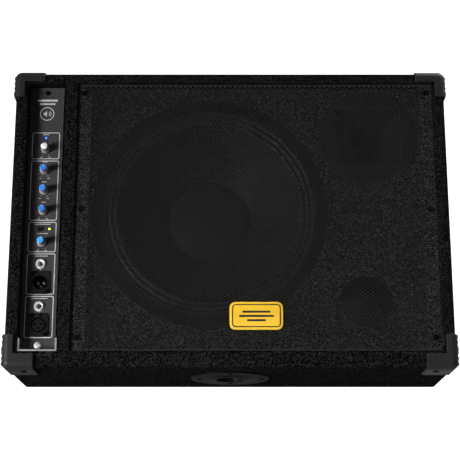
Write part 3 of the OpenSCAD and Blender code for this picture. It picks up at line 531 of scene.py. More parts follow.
def section():
    """The cabinet's side outline over the carpet, as (y, z) in the row frame, from the lower front edge."""
    lip = FRONT @ Vector((0, 0, 0))
    crest = FRONT @ Vector((0, FRONT_LEN, 0))
    foot = lip - NORMAL * ((lip.z - FLOOR_Z) / NORMAL.z)
    back_top = crest - NORMAL * ((crest.y - BACK_Y) / NORMAL.y)
    corners = [(p.y, p.z) for p in (lip, crest, back_top)]
    return [*corners, (BACK_Y, FLOOR_Z), (foot.y, foot.z)]


def prism(outline, half_width):
    """A closed prism across the cabinet, from row-frame (y, z) points, in the front frame."""
    bm = bmesh.new()
    ends = [[bm.verts.new(TO_FRONT @ Vector((x, y, z))) for y, z in outline]
            for x in (-half_width, half_width)]
    bm.faces.new(ends[0][::-1])
    bm.faces.new(ends[1])
    for i in range(len(outline)):
        bm.faces.new((ends[0][i - 1], ends[0][i], ends[1][i], ends[1][i - 1]))
    bmesh.ops.recalc_face_normals(bm, faces=bm.faces)
    return bm


def shrunk(outline, by):
    """The outline with every side moved inward."""
    count = len(outline)
    moved_in = []
    for i in range(count):
        here = Vector(outline[i])
        u = (here - Vector(outline[i - 1])).normalized()
        v = (Vector(outline[(i + 1) % count]) - here).normalized()
        a = Vector((u.y, -u.x))
        b = Vector((v.y, -v.x))
        moved_in.append(tuple(here + by * (a + b) / (1 + a.dot(b))))
    return moved_in


def make_carpet():
    edge_r = 5 * MM
    lip_r = 1.6 * MM
    outline = section()
    body = prism(outline, HALF_W)
    eased(body, body.edges[:], edge_r, 6)
    reach = 12 * MM
    speaker = box((BAFFLE_LOW.x, OPEN_LOW, -reach), (BAFFLE_HIGH.x, OPEN_HIGH, reach))
    bay = box((-BAFFLE_HIGH.x, OPEN_LOW, -reach), (PARTITION_X, OPEN_HIGH, reach))
    cup = mount_point("pole_socket")
    pole = rod(22 * MM, -30 * MM, 30 * MM, 64)
    moved(pole, turned(90, "X"), at(0, 0, cup.z))
    dish_low, dish_high = front_box("handle_dish")
    brim = 10 * MM
    grip = box((dish_low.x + brim, FRONT_LEN - 30 * MM, dish_low.z + brim),
               (dish_high.x - brim, FRONT_LEN + 30 * MM, dish_high.z - brim))
    rear_low, rear_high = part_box("rear_plate")
    inset = 12 * MM
    rear = moved(box((rear_low.x + inset, BACK_Y - 20 * MM, rear_low.z + inset),
                     (rear_high.x - inset, BACK_Y + 20 * MM, rear_high.z - inset)), TO_FRONT)
    inside = prism(shrunk(outline, CARPET_T), HALF_W - CARPET_T)
    shell = carved(body, inside, speaker, bay, pole, grip, rear)
    bmesh.ops.remove_doubles(shell, verts=shell.verts, dist=1e-6)
    rim_edges = []
    for edge in shell.edges:
        a, b = (v.co for v in edge.verts)
        on_rim = abs(a.z) < 1e-5 and abs(b.z) < 1e-5
        inner = abs(a.x) < HALF_W - 10 * MM and abs(b.x) < HALF_W - 10 * MM
        inner = inner and all(10 * MM < c.y < FRONT_LEN - 10 * MM for c in (a, b))
        corner = edge.calc_face_angle(0) > 1
        if on_rim and inner and corner:
            rim_edges.append(edge)
    eased(shell, rim_edges, lip_r, 3)
    add("carpet", shell, CARPET, stands_for=["carpet_cover"], sharp=50)


def make_baffle_carpet():
    low, high = front_box("baffle_carpet")
    woofer = front_box("woofer_frame")
    horn = front_box("horn")
    port = front_box("port_tube")
    port_lip = 6.2 * MM
    holes = []
    for (a, b), gap in ((woofer, 0.6 * MM), (horn, 0.6 * MM), (port, -port_lip)):
        holes.append(circle((a.x + b.x) / 2, (a.y + b.y) / 2, (b.x - a.x) / 2 + gap, 96))
    outline = [(low.x, low.y), (high.x, low.y), (high.x, high.y), (low.x, high.y)]
    bm = plate(outline, low.z, high.z, holes)
    add("baffle_cover", bm, BAFFLE_CARPET_AND_PAINTED_LIGHT, stands_for=["baffle_carpet"])


def make_guards():
    """Corner mouldings. The right ones are skinned from the CAD solids, the left ones mirror them."""
    whole = bmesh.new()
    whole.from_mesh(NODES["corner_protectors"].data)
    voxel = 0.65 * MM
    mirror = Matrix.Scale(-1, 4, (1, 0, 0))
    spots = {
        "top": FRONT @ at(HALF_W, FRONT_LEN, 0), "low": FRONT @ at(HALF_W, 0, 0),
        "rear": at(HALF_W, BACK_Y, FLOOR_Z),
    }
    for spot, place in spots.items():
        near = place.translation
        one = whole.copy()
        far = [v for v in one.verts if (v.co - near).length > 100 * MM]
        bmesh.ops.delete(one, geom=far, context="VERTS")
        moved(one, place.inverted())
        skin = melted(one, voxel, 3)
        left = bmesh.new()
        left.from_mesh(skin)
        moved(left, mirror)
        add(f"guard_{spot}_right", skin, GUARD, stands_for=["corner_protectors"],
            place=place, sharp=60)
        add(f"guard_{spot}_left", left, GUARD, stands_for=["corner_protectors"],
            place=mirror @ place @ mirror, sharp=60)
    whole.free()


def make_pole_cup():
    low, high = front_box("pole_socket")
    centre_z = (low.z + high.z) / 2
    flange_r = (high.z - low.z) / 2
    bore_r = MOUNTS["pole_socket"]["dims"]["r_mm"] * MM
    lip = -low.y
    depth = high.y
    wall = 3 * MM
    profile = [
        (0, depth), (bore_r + wall, depth), (bore_r + wall, 0), (flange_r, 0),
        (flange_r, 0.8 * MM - 2 * MM), (flange_r - 0.9 * MM, -2 * MM), (bore_r + 9 * MM, -2 * MM),
        (bore_r + 7 * MM, -lip * 0.8), (bore_r + 5 * MM, -lip), (bore_r + 1.4 * MM, -lip),
        (bore_r + 0.4 * MM, -lip + 0.5 * MM), (bore_r, -lip + 1.6 * MM), (bore_r, depth - wall),
        (0, depth - wall),
    ]
    bm = lathe(profile, 96)
    moved(bm, turned(-90, "X"), at(0, 0, centre_z))
    add("pole_cup", bm, CUP_PAINT, stands_for=["pole_socket"], sharp=35)


def make_handle():
    low, high = front_box("handle_dish")
    middle = (low + high) / 2
    w, h = high.x - low.x, high.z - low.z
    top = high.y
    inner_w, inner_h = w - 28 * MM, h - 26 * MM
    rim = 3 * MM
    wall = 3 * MM
    corner_r = 6 * MM
    deep = top - low.y
    outer = rounded_box((-w / 2, -h / 2, -rim), (w / 2, h / 2, 0), 1.2 * MM, 3)
    out_w, out_h = inner_w / 2 + wall, inner_h / 2 + wall
    well = rounded_box((-out_w, -out_h, -deep), (out_w, out_h, -1.5 * MM), corner_r, 4)
    hollow = rounded_box((-inner_w / 2, -inner_h / 2, -deep + 2.6 * MM),
                         (inner_w / 2, inner_h / 2, 20 * MM), corner_r, 5)
    solid = loose(outer)
    other = loose(well)
    fuse = solid.modifiers.new("fuse", "BOOLEAN")
    fuse.operation = "UNION"
    fuse.solver = "EXACT"
    fuse.object = other
    mesh = evaluated(solid)
    bpy.data.objects.remove(other)
    bm = bmesh.new()
    bm.from_mesh(mesh)
    dish = carved(bm, hollow)
    stand = FRONT @ at(middle.x, top, middle.z) @ turned(-90, "X")
    add("handle_cup", dish, BLACK_PLASTIC, stands_for=["handle_dish"], place=stand)
    g_low, g_high = front_box("handle_grip")
    length = g_high.x - g_low.x
    radius = (g_high.z - g_low.z) / 2
    profile = []
    rings = 15
    for i in range(rings + 1):
        t = i / rings
        swell = math.sin(math.pi * t) ** 0.5
        profile.append(((0.8 + 0.2 * swell) * radius, (t - 0.5) * length))
    ridges, ridged_half, ridge_depth = 9, length * 0.32, 0.35 * MM
    fine = []
    for i in range(len(profile) - 1):
        (r0, z0), (r1, z1) = profile[i], profile[i + 1]
        for k in range(4):
            t = k / 4
            fine.append((r0 + (r1 - r0) * t, z0 + (z1 - z0) * t))
    fine.append(profile[-1])
    ribbed = []
    for r, z in fine:
        turns = ridges * (z / (2 * ridged_half))
        dent = ridge_depth * (0.5 - 0.5 * math.cos(TAU * turns)) if abs(z) < ridged_half else 0
        ribbed.append((r - dent, z))
    grip = lathe([(0, -length / 2)] + ribbed + [(0, length / 2)], 48)
    centre = (g_low + g_high) / 2
    add("handle_bar", grip, GRIP, stands_for=["handle_grip"],
        place=FRONT @ at(*centre) @ turned(90, "Y"))


def make_feet():
    low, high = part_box("rubber_feet")
    radius = 18 * MM
    height = high.z - low.z
    profile = [
        (0, height), (radius, height), (radius, 3.2 * MM), (radius - 0.6 * MM, 1.2 * MM),
        (radius - 2.2 * MM, 0),
        (9 * MM, 0), (8 * MM, 0.8 * MM), (8 * MM, 4.5 * MM), (4.2 * MM, 5 * MM), (0, 5 * MM),
    ]
    for name, x, y in (
        ("front_left", low.x + radius, low.y + radius),
        ("front_right", high.x - radius, low.y + radius),
        ("rear_left", low.x + radius, high.y - radius),
        ("rear_right", high.x - radius, high.y - radius),
    ):
        add(f"foot_{name}", lathe(profile, 64), RUBBER, stands_for=["rubber_feet"],
            place=at(x, y, low.z))


def make_wadding():
    """Two lofty sheets, uneven on both faces."""
    source = bmesh.new()
    source.from_mesh(NODES["wadding"].data)
    bmesh.ops.dissolve_limit(source, angle_limit=0.02, verts=source.verts, edges=source.edges)
    bmesh.ops.subdivide_edges(source, edges=source.edges[:], cuts=28, use_grid_fill=True)
    shrink = 1.6 * MM
    source.normal_update()
    for vert in source.verts:
        lump = noise.noise(vert.co * 28) + 0.5 * noise.noise(vert.co * 75)
        vert.co -= vert.normal * (shrink + 1.2 * MM * lump)
    add("wadding_sheets", source, WADDING, stands_for=["wadding"], place=ROW, sharp=180)


# ---------------------------------------------------------------- grille


def perforated_strip(columns, last, x0, y0, y1, pitch_x, pitch_y, hole_r, rim, bottom, top):
    """A closed strip of sheet with round holes, every other column raised by half a pitch.

    The line between two columns weaves round their holes. It is straight, and further out by rim, at the
    sheet's own sides, which are those of column 0 and of the last one.
    """
    rows = int((y1 - y0 - pitch_y / 2) / pitch_y)
    half_x, half_y = pitch_x / 2, pitch_y / 2
    weave = 0.5 * MM
    first = (y0 + y1) / 2 - (rows - 0.5) * half_y
    # corners and side points of a cell, shared with the staggered neighbours
    border = [
        (1, 0), (1, 0.5), (1, 1), (0, 1), (-1, 1), (-1, 0.5),
        (-1, 0), (-1, -0.5), (-1, -1), (0, -1), (1, -1), (1, -0.5),
    ]
    verts, faces, index = [], [], {}

    def vert(x, y, z):
        key = (round(x * 1e6), round(y * 1e6), z)
        if key not in index:
            index[key] = len(verts)
            verts.append((x, y, z))
        return index[key]

    def side_x(column, x, side, y):
        if not 0 <= column + side <= last:
            return x + side * (half_x + rim)
        step = min(max((y - first) / half_y, -1), 2 * rows)
        bow = 1 - 2 * abs((step + 1) % 2 - 1)
        return x + side * (half_x + (-bow if column % 2 else bow) * weave)

    def both_faces(loop):
        faces.append([vert(x, y, top) for x, y in loop])
        faces.append([vert(x, y, bottom) for x, y in reversed(loop)])

    for column in columns:
        x = x0 + (column + 0.5) * pitch_x
        lift = half_y if column % 2 else 0
        for row in range(rows):
            y = first + row * pitch_y + lift
            outer = [(side_x(column, x, u, y + v * half_y) if u else x, y + v * half_y)
                     for u, v in border]
            angles = [math.atan2(b - y, a - x) for a, b in outer]
            hole = [(x + hole_r * math.cos(a), y + hole_r * math.sin(a)) for a in angles]
            for k in range(len(border)):
                n = (k + 1) % len(border)
                both_faces([outer[k], outer[n], hole[n], hole[k]])
                faces.append([vert(*hole[k], top), vert(*hole[n], top),
                              vert(*hole[n], bottom), vert(*hole[k], bottom)])
        highest = first + (rows - 1) * pitch_y + half_y * 2
        for edge, start, way in ((y0, first - half_y, 1), (y1, highest, -1)):
            # the margin reaches the cells of this column; its sides keep the neighbours' points
            near = start + lift if way > 0 else start - half_y + lift
            steps = [start, start + way * half_y / 2] if abs(near - start) > half_y / 2 else []
            side = [edge, *steps, near]
            right = [(side_x(column, x, 1, y), y) for y in side]
            left = [(side_x(column, x, -1, y), y) for y in reversed(side)]
            loop = [(x, edge), *right, (x, near), *left]
            both_faces(loop if way > 0 else loop[::-1])

    sides = {(face[i - 1], face[i]) for face in faces for i in range(len(face))}
    low_of = {index[key]: index[(key[0], key[1], bottom)] for key in index if key[2] == top}
    for a, b in sides:
        if (b, a) not in sides and a in low_of and b in low_of:
            faces.append([b, a, low_of[a], low_of[b]])
    return verts, faces


def make_grille():
    """Perforated steel sheet. It is split into strips so that no piece's mesh is too heavy."""
    strips = 5
    low, high = GRILLE_LOW, GRILLE_HIGH
    columns = round((high.x - low.x) / (3.33 * MM))
    rim = 0.6 * MM
    pitch_x, pitch_y = (high.x - low.x - 2 * rim) / columns, 4.55 * MM
    hole_r = 1.75 * MM
    per_strip = math.ceil(columns / strips)
    for strip in range(strips):
        chosen = range(strip * per_strip, min((strip + 1) * per_strip, columns))
        verts, faces = perforated_strip(chosen, columns - 1, low.x + rim, low.y, high.y, pitch_x, pitch_y,
                                        hole_r, rim, low.z, high.z)
        mesh = bpy.data.meshes.new(f"grille_{strip + 1}")
        mesh.from_pydata(verts, [], faces)
        mesh.update()
        add(f"grille_{strip + 1}", mesh, GRILLE_PAINT, stands_for=["grille"], sharp=50)


def make_badge():
    low, high = front_box("badge")
    middle = (low + high) / 2
    w, h = high.x - low.x, high.y - low.y
    t = high.z - low.z
    corner = 9 * MM
    base = plate(fillet(rectangle(0, 0, w, h), corner, 8), 0, t - 0.3 * MM)
    tops = top_edges(base, t - 0.5 * MM)
    eased(base, tops, 0.7 * MM, 3)
    place = FRONT @ at(middle.x, middle.y, low.z)
    add("badge_plate", base, BADGE_YELLOW, stands_for=["badge"], place=place)
    inset, line = 3 * MM, 1.3 * MM
    rim_outer = fillet(rectangle(0, 0, w - 2 * inset, h - 2 * inset), corner - inset, 8)
    within = 2 * inset + 2 * line
    rim_inner = fillet(rectangle(0, 0, w - within, h - within), corner - inset - line, 8)
    z0, z1 = t - 0.35 * MM, t
    marks = [plate(rim_outer, z0, z1, [rim_inner])]
    bars = ((5 * MM, 36 * MM), (-0.5 * MM, 44 * MM), (-6 * MM, 24 * MM))
    for y, wide in bars:
        marks.append(plate(fillet(rectangle(0, y, wide, 2.6 * MM), 1.2 * MM, 4), z0, z1))
    add("badge_marks", join(*marks), BADGE_BLACK, place=place)


# ---------------------------------------------------------------- control panel

PRINT_LIFT = 0.06 * MM
controls = {name: front_point(f"{name}_turn") for name in ("level", "high", "mid", "low", "filter")}
JACK_OUT = mount_point("jack_output")
JACK_IN = mount_point("jack_input")
XLR_OUT = mount_point("xlr_output")
XLR_IN = mount_point("xlr_input")


def on_panel(spot):
    return FRONT @ at(spot.x, spot.y, PANEL_Z)


def ink(outline, holes=()):
    return plate(outline, -0.02 * MM, PRINT_LIFT, holes)


def bar(x, y, w, h=1.0 * MM):
    return ink(rectangle(PANEL_X + x, y, w, h))


def frame_line(y_low, y_high):
    """A white rounded frame round a group of controls."""
    w, line, r = 36.6 * MM, 1.05 * MM, 3 * MM
    y, h = (y_low + y_high) / 2, y_high - y_low
    outer = fillet(rectangle(PANEL_X, y, w, h), r, 5)
    inner = fillet(rectangle(PANEL_X, y, w - 2 * line, h - 2 * line), r - line, 5)
    return ink(outer, [inner])


def label(x, y, w):
    """A printed label reduced to a row of short dashes."""
    parts = []
    dash, space = 1.5 * MM, 0.6 * MM
    count = max(1, round(w / (dash + space)))
    for i in range(count):
        parts.append(bar(x + (i - (count - 1) / 2) * (dash + space), y, dash, 1.15 * MM))
    return parts


def dial(centre):
    """Tick marks round a control, a longer one at the middle, and end marks under it."""
    parts = []
    radius, ticks, sweep = 7.9 * MM, 11, 300
    for i in range(ticks):
        angle = math.radians(90 + sweep / 2 - sweep * i / (ticks - 1))
        long = i in (0, ticks // 2, ticks - 1)
        length = 1.4 * MM if long else 0.8 * MM
        mark = rectangle(0, 0, length, 0.4 * MM)
        turn = Matrix.Rotation(angle, 2)
        out = radius + length / 2
        spun = [turn @ Vector((x + out, y)) for x, y in mark]
        parts.append(ink([(centre.x + p.x, centre.y + p.y) for p in spun]))
    for side in (-1, 1):
        parts += [ink(rectangle(centre.x + side * 5.4 * MM, centre.y - 10.6 * MM, 3.0 * MM, 0.7 * MM))]
    return parts


def make_print():
    parts = []
    level, high, mid, low, filt = (controls[k] for k in ("level", "high", "mid", "low", "filter"))
    groups = [
        (level.y - 13.4 * MM, level.y + 24 * MM),
        (low.y - 13.0 * MM, high.y + 14 * MM),
        (filt.y - 12.6 * MM, filt.y + 28 * MM),
        (XLR_OUT.y - 16 * MM, JACK_OUT.y + 14 * MM),
        (XLR_IN.y - 16.8 * MM, JACK_IN.y + 13.6 * MM),
    ]
    for y_low, y_high in groups:
        parts.append(frame_line(y_low, y_high))
    for centre in (level, high, mid, low, filt):
        parts += dial(centre)
    parts += label(0, level.y + 21 * MM, 8 * MM)
    parts += label(12.6 * MM, level.y + 8 * MM, 4 * MM)
    for centre in (high, mid, low):
        parts += label(0, centre.y + 12.2 * MM, 6.5 * MM)
    parts += label(0, filt.y + 25 * MM, 22 * MM)
    parts += label(0, filt.y + 12.4 * MM, 15 * MM)
    parts += label(0, JACK_OUT.y + 10.6 * MM, 17 * MM)
    parts += label(0, JACK_IN.y + 10.4 * MM, 22 * MM)
    for jack, xlr in ((JACK_OUT, XLR_OUT), (JACK_IN, XLR_IN)):
        top, bottom = jack.y - 6.6 * MM, xlr.y + 12.6 * MM
        parts.append(bar(0, (top + bottom) / 2, 0.9 * MM, top - bottom))
    # a plain loudspeaker sign with two bars over it
    sign_y = PANEL_HIGH.y - 37 * MM
    ring_r = 9.5 * MM
    hole = circle(PANEL_X, sign_y, ring_r - 1.0 * MM, 48)
    parts.append(ink(circle(PANEL_X, sign_y, ring_r, 48), [hole]))
    magnet_x, throat_x, mouth_x = PANEL_X - 4.6 * MM, PANEL_X - 2.6 * MM, PANEL_X - 0.2 * MM
    throat, mouth = 1.6 * MM, 4 * MM
    parts.append(ink([(magnet_x, sign_y - throat), (throat_x, sign_y - throat),
                      (mouth_x, sign_y - mouth), (mouth_x, sign_y + mouth),
                      (throat_x, sign_y + throat), (magnet_x, sign_y + throat)]))
    for radius in (2.6 * MM, 4.8 * MM):
        arc = []
        for r, degrees in ((radius + 0.8 * MM, range(-45, 46, 9)), (radius, range(45, -46, -9))):
            arc += [(PANEL_X + r * math.cos(math.radians(a)), sign_y + r * math.sin(math.radians(a)))
                    for a in degrees]
        parts.append(ink(arc))
    parts.append(bar(0, sign_y + 19 * MM, 27 * MM, 2.6 * MM))
    parts.append(bar(0, sign_y + 14 * MM, 21 * MM, 2.2 * MM))
    add("panel_print", join(*parts), INK, place=FRONT @ at(0, 0, PANEL_Z), sharp=30)


def make_knobs():
    tints = {"level": (CAP_PALE, "cap_white"), "filter": (CAP_LIGHT_BLUE, "cap_light_blue")}
    flutes = 18
    for name, centre in controls.items():
        body = f"{name}_control"
        k_low, k_high = front_box(f"{name}_knob")
        c_low, c_high = front_box(f"{name}_cap")
        radius = (k_high.x - k_low.x) / 2
        foot = PANEL_Z + 1.4 * MM
        top = c_low.z
        profile = [
            (3.1 * MM, foot), (radius - 0.5 * MM, foot), (radius, foot + 0.5 * MM),
            (radius, foot + 2.2 * MM), (radius - 0.5 * MM, foot + 2.9 * MM),
            (radius - 1.1 * MM, foot + 3.3 * MM),
            (radius - 1.2 * MM, foot + 4.2 * MM), (radius - 1.3 * MM, foot + 6 * MM),
            (radius - 1.4 * MM, top - 2.5 * MM), (radius - 1.5 * MM, top - 0.9 * MM),
            (radius - 1.9 * MM, top - 0.15 * MM), (3.1 * MM, top - 0.15 * MM),
        ]
        # how deep the flutes cut at a profile point, as a share of the radius
        depth = {6: 0.06, 7: 0.07, 8: 0.07, 9: 0.05}

        def wave(angle, index):
            return 1 - depth.get(index, 0) * (0.5 + 0.5 * math.cos(flutes * angle)) ** 2

        knob = lathe(profile, 144, wave)
        moved(knob, at(centre.x, centre.y, 0))
        shaft = rod(3 * MM, k_low.z, foot + 7 * MM, 48)
        moved(shaft, at(centre.x, centre.y, 0))
        add(f"{name}_knob_body", join(knob, shaft), KNOB_GREY, body, [f"{name}_knob"])
        cap_r = (c_high.x - c_low.x) / 2
        rise = c_high.z - c_low.z
        dome = [(0, top - 0.6 * MM), (cap_r - 0.6 * MM, top - 0.6 * MM), (cap_r - 0.1 * MM, top),
                (cap_r - 0.1 * MM, top + rise * 0.4), (cap_r - 0.5 * MM, top + rise * 0.8),
                (cap_r - 1.3 * MM, top + rise), (0, top + rise * 0.92)]
        cap = moved(lathe(dome, 64), at(centre.x, centre.y, 0))
        tint, slot = tints.get(name, (CAP_BLUE, "cap_blue"))
        add(f"{name}_knob_cap", cap, tint, body, [f"{name}_cap"])
        half = 0.35 * MM
        line = rounded_box((-half, cap_r * 0.25, top + rise * 0.75),
                           (half, cap_r - 0.9 * MM, top + rise + 0.08 * MM), 0.1 * MM, 2)
        skirt = rounded_box((-half, radius - 1.5 * MM, foot + 2.4 * MM),
                            (half, radius - 0.1 * MM, foot + 3.1 * MM), 0.1 * MM, 2)
        moved(line, at(centre.x, centre.y, 0))
        moved(skirt, at(centre.x, centre.y, 0))
        add(f"{name}_knob_pointer", join(line, skirt), INK, body)


def make_jacks():
    low, high = front_box("jack_sockets")
    for name, spot in (("output", JACK_OUT), ("input", JACK_IN)):
        bore = MOUNTS[f"jack_{name}"]["dims"]["r_mm"] * MM
        nut = lathe([
            (5.75 * MM, 0.02 * MM), (6.9 * MM, 0.02 * MM), (6.9 * MM, 0.5 * MM), (6.5 * MM, 1.3 * MM),
            (5.9 * MM, 1.9 * MM), (5.75 * MM, 1.9 * MM),
        ], 96)
        place = on_panel(spot)
        add(f"jack_{name}_nut", nut, CHROME, stands_for=["jack_sockets"], place=place)
        mouth = high.z - PANEL_Z
        sleeve = lathe([
            (bore, low.z - PANEL_Z + 3 * MM), (5.7 * MM, low.z - PANEL_Z + 3 * MM),
            (5.7 * MM, mouth - 0.6 * MM), (5.2 * MM, mouth), (bore + 0.9 * MM, mouth),
            (bore + 0.3 * MM, mouth - 0.5 * MM), (bore, mouth - 1.4 * MM),
        ], 96)
        add(f"jack_{name}_sleeve", sleeve, CHROME, place=place)
        body = box((-8 * MM, -9 * MM, low.z - PANEL_Z), (8 * MM, 9 * MM, -1.7 * MM))
        tunnel = rod(5.71 * MM, low.z - PANEL_Z + 2 * MM, 5 * MM, 48)
        add(f"jack_{name}_body", carved(body, tunnel), BLACK_PLASTIC, place=place)


def xlr_shell(barrel_depth, bore_r, male):
    """The D-size flange with two screw holes and its barrel."""
    w, h, t = 26 * MM, 31 * MM, 1.2 * MM
    lip = 2.2 * MM
    screws = [(-9.5 * MM, 12 * MM), (9.5 * MM, -12 * MM)]
    outline = fillet(rectangle(0, 0, w, h), 4 * MM, 6)
    holes = [circle(0, 0, 10.2 * MM, 64)] + [circle(x, y, 1.6 * MM, 24) for x, y in screws]
    flange = plate(outline, 0, t, holes)
    eased(flange, top_edges(flange, t - 1e-6), 0.25 * MM, 2)
    deep = -barrel_depth
    ring = lathe([
        (bore_r, deep), (11.7 * MM, deep), (11.7 * MM, -0.1 * MM), (10.2 * MM, 0.1 * MM),
        (10.5 * MM, 1.4 * MM), (10.4 * MM, lip - 0.3 * MM), (10.0 * MM, lip), (bore_r + 0.4 * MM, lip),
        (bore_r, lip - 0.4 * MM),
    ], 96)
    floor_z = deep + (lip if male else 0)
    plug = rod(bore_r + 0.4 * MM, deep, floor_z + 0.6 * MM, 64)
    return flange, ring, plug


XLR_BORE_R = 9.4 * MM
XLR_IN_DEPTH = 14 * MM
PIN_SPOTS = [(-3.9 * MM, 0.9 * MM), (3.9 * MM, 0.9 * MM), (0, -4.1 * MM)]


def make_xlrs():
    out = on_panel(XLR_OUT)
    flange, ring, plug = xlr_shell(18 * MM, XLR_BORE_R, True)
    add("xlr_output_shell", join(flange, ring, plug), SHELL_BLACK, stands_for=["xlr_output"],
        place=out)
    pins = []
    root, tip = -17.5 * MM, -5.5 * MM
    for x, y in PIN_SPOTS:
        pin = lathe([(0, root), (1.2 * MM, root), (1.2 * MM, tip - 1.2 * MM),
                     (0.9 * MM, tip - 0.35 * MM), (0.4 * MM, tip), (0, tip)], 32)
        pins.append(moved(pin, at(x, y, 0)))
    add("xlr_output_pins", join(*pins), CHROME, place=out)
    into = on_panel(XLR_IN)
    flange, ring, plug = xlr_shell(XLR_IN_DEPTH, XLR_BORE_R, False)
    core = lathe([(0, -XLR_IN_DEPTH), (7.9 * MM, -XLR_IN_DEPTH), (7.9 * MM, 0.9 * MM),
                  (7.4 * MM, 1.4 * MM), (0, 1.4 * MM)], 64)
    holes = [moved(rod(1.5 * MM, -12 * MM, 4 * MM, 32), at(x, y, 0)) for x, y in PIN_SPOTS]
    drilled = carved(core, *holes)
    latch = rounded_box((-3.2 * MM, 10.4 * MM, 0.4 * MM), (3.2 * MM, 14.2 * MM, 2.6 * MM), 0.5 * MM, 2)
    add("xlr_input_shell", join(flange, ring, plug, drilled, latch), SHELL_BLACK, stands_for=["xlr_input"],
        place=into)


def make_leds():
    low, high = front_box("leds")
    r = 1.5 * MM
    lens = [(0, -4 * MM), (r, -4 * MM), (r, 0.6 * MM), (r * 0.92, 1.1 * MM), (r * 0.7, 1.6 * MM),
            (r * 0.38, 1.95 * MM), (0, 2.1 * MM)]
    spots = [
        ("power", low.x + r, high.y - r, LED_BLUE),
        ("signal", high.x - r, controls["level"].y + 8 * MM, LED_RED),
        ("filter", high.x - r, low.y + r, LED_YELLOW),
    ]
    for name, x, y, glow in spots:
        place = on_panel(Vector((x, y, 0)))
        add(f"led_{name}", lathe(lens, 32), glow, stands_for=["leds"], place=place)
        collar = lathe([(r + 0.05 * MM, 0), (r + 0.55 * MM, 0), (r + 0.5 * MM, 0.3 * MM),
                        (r + 0.05 * MM, 0.35 * MM)], 32)
        add(f"led_{name}_collar", collar, BLACK_PLASTIC, place=place)


def make_button():
    low, high = front_box("filter_button")
    centre = (low + high) / 2
    r = (high.x - low.x) / 2
    cap = lathe([(0, low.z), (r, low.z), (r, high.z - 0.6 * MM), (r - 0.2 * MM, high.z - 0.2 * MM),
                 (r - 0.6 * MM, high.z), (r * 0.5, high.z - 0.25 * MM), (0, high.z - 0.35 * MM)], 48)
    add("filter_push", cap, BLACK_PLASTIC, "filter_switch", ["filter_button"],
        place=FRONT @ at(centre.x, centre.y, 0))


# ---------------------------------------------------------------- woofer


def make_surround():
    low, high = front_box("woofer_surround")
    centre = (low + high) / 2
    outer = (high.x - low.x) / 2
    cone_low, cone_high = front_box("woofer_cone")
    inner_r = (cone_high.x - cone_low.x) / 2 + 0.3 * MM
    steps = 36
    cloth = 0.8 * MM
    rolls = 3
    top, bottom = [], []
    for i in range(steps + 1):
        u = i / steps
        r = inner_r + u * (outer - inner_r)
        hump = abs(math.sin(rolls * math.pi * u)) ** 0.8
        z = low.z + 0.1 * MM + (high.z - low.z - cloth - 0.1 * MM) * hump
        top.append((r, z + cloth))
        bottom.append((r, z))
    add("surround_rolls", lathe(bottom + top[::-1], 160), SURROUND, stands_for=["woofer_surround"],
        place=FRONT @ at(centre.x, centre.y, 0), sharp=60)


def make_cone():
    low, high = front_box("woofer_cone")
    cap_low, cap_high = front_box("dust_cap")
    centre = (low + high) / 2
    edge_r = (high.x - low.x) / 2
    neck_r = 38 * MM
    paper = 1.1 * MM
    depth = high.z - low.z - paper
    rings = 120
    ribs, ribs_from, ribs_to, rib_depth = 9, 0.3, 0.85, 0.22 * MM
    top, bottom = [], []
    for i in range(rings + 1):
        u = i / rings
        r = neck_r + u * (edge_r - neck_r)
        turns = ribs * (u - ribs_from) / (ribs_to - ribs_from)
        rib = rib_depth * (1 - math.cos(TAU * turns)) if ribs_from < u < ribs_to else 0
        z = high.z - depth * (1 - u) ** 0.9 - rib
        top.append((r, z))
        bottom.append((r, z - paper))
    place = FRONT @ at(centre.x, centre.y, 0)
    add("cone_shell", lathe(bottom + top[::-1], 160), CONE, "cone_assembly", ["woofer_cone"],
        place)
    cap_r = (cap_high.x - cap_low.x) / 2
    rise = cap_high.z - cap_low.z
    dome, under = [], []
    bands = 14
    for i in range(bands + 1):
        a = i / bands
        r = cap_r * math.sin(a * math.pi / 2)
        z = cap_low.z + rise * (1 - (1 - math.cos(a * math.pi / 2)) ** 1.25)
        dome.append((r, z))
        under.append((r, z - 0.8 * MM * (1 - a) - 0.1 * MM))
    add("dust_dome", lathe(under + dome[:0:-1] + [dome[0]], 128), CONE, "cone_assembly", ["dust_cap"],
        place)


# ---------------------------------------------------------------- CAD nodes that stay

# a CAD node whose shape is right keeps it, and takes a finish
FINISHES = (
    (PLYWOOD, "side_panel_left side_panel_right top_panel socket_panel floor_panel back_panel "
     "amp_partition baffle_board"),
    # the battens take the baffle carpet, whose paler flecks are painted light against the grille's shade
    (BAFFLE_CARPET_AND_PAINTED_LIGHT, "baffle_battens"),
    (SCREW_BLACK, "cabinet_screws baffle_screws panel_screws"),
    (TUBE_BLACK_AND_PAINTED_SHADE, "port_tube"),
    (WOOFER_PAINT, "woofer_frame"),
    (GASKET, "woofer_gasket"),
    (COPPER, "voice_coil"),
    (SPIDER, "woofer_spider"),
    (MOTOR_STEEL, "woofer_top_plate woofer_yoke"),
    (FERRITE, "woofer_magnet"),
    (HORN_PLASTIC_AND_PAINTED_LIGHT, "horn"),
    (STEEL_BLACK, "compression_driver rear_plate"),
    (PANEL_PAINT_AND_PAINTED_LIGHT, "control_panel"),
    (CHROME, "panel_end_screw"),
    (ZINC, "panel_bracket"),
    (GALVANISED, "amp_tray"),
    (BOARD, "control_board amp_board"),
    (BLACK_PLASTIC, "mains_inlet"),
    (RED_PLASTIC, "power_rocker"),
    (LEAD_RED, "speaker_leads"),
)
KEPT = {node: material for material, nodes in FINISHES for node in nodes.split()}
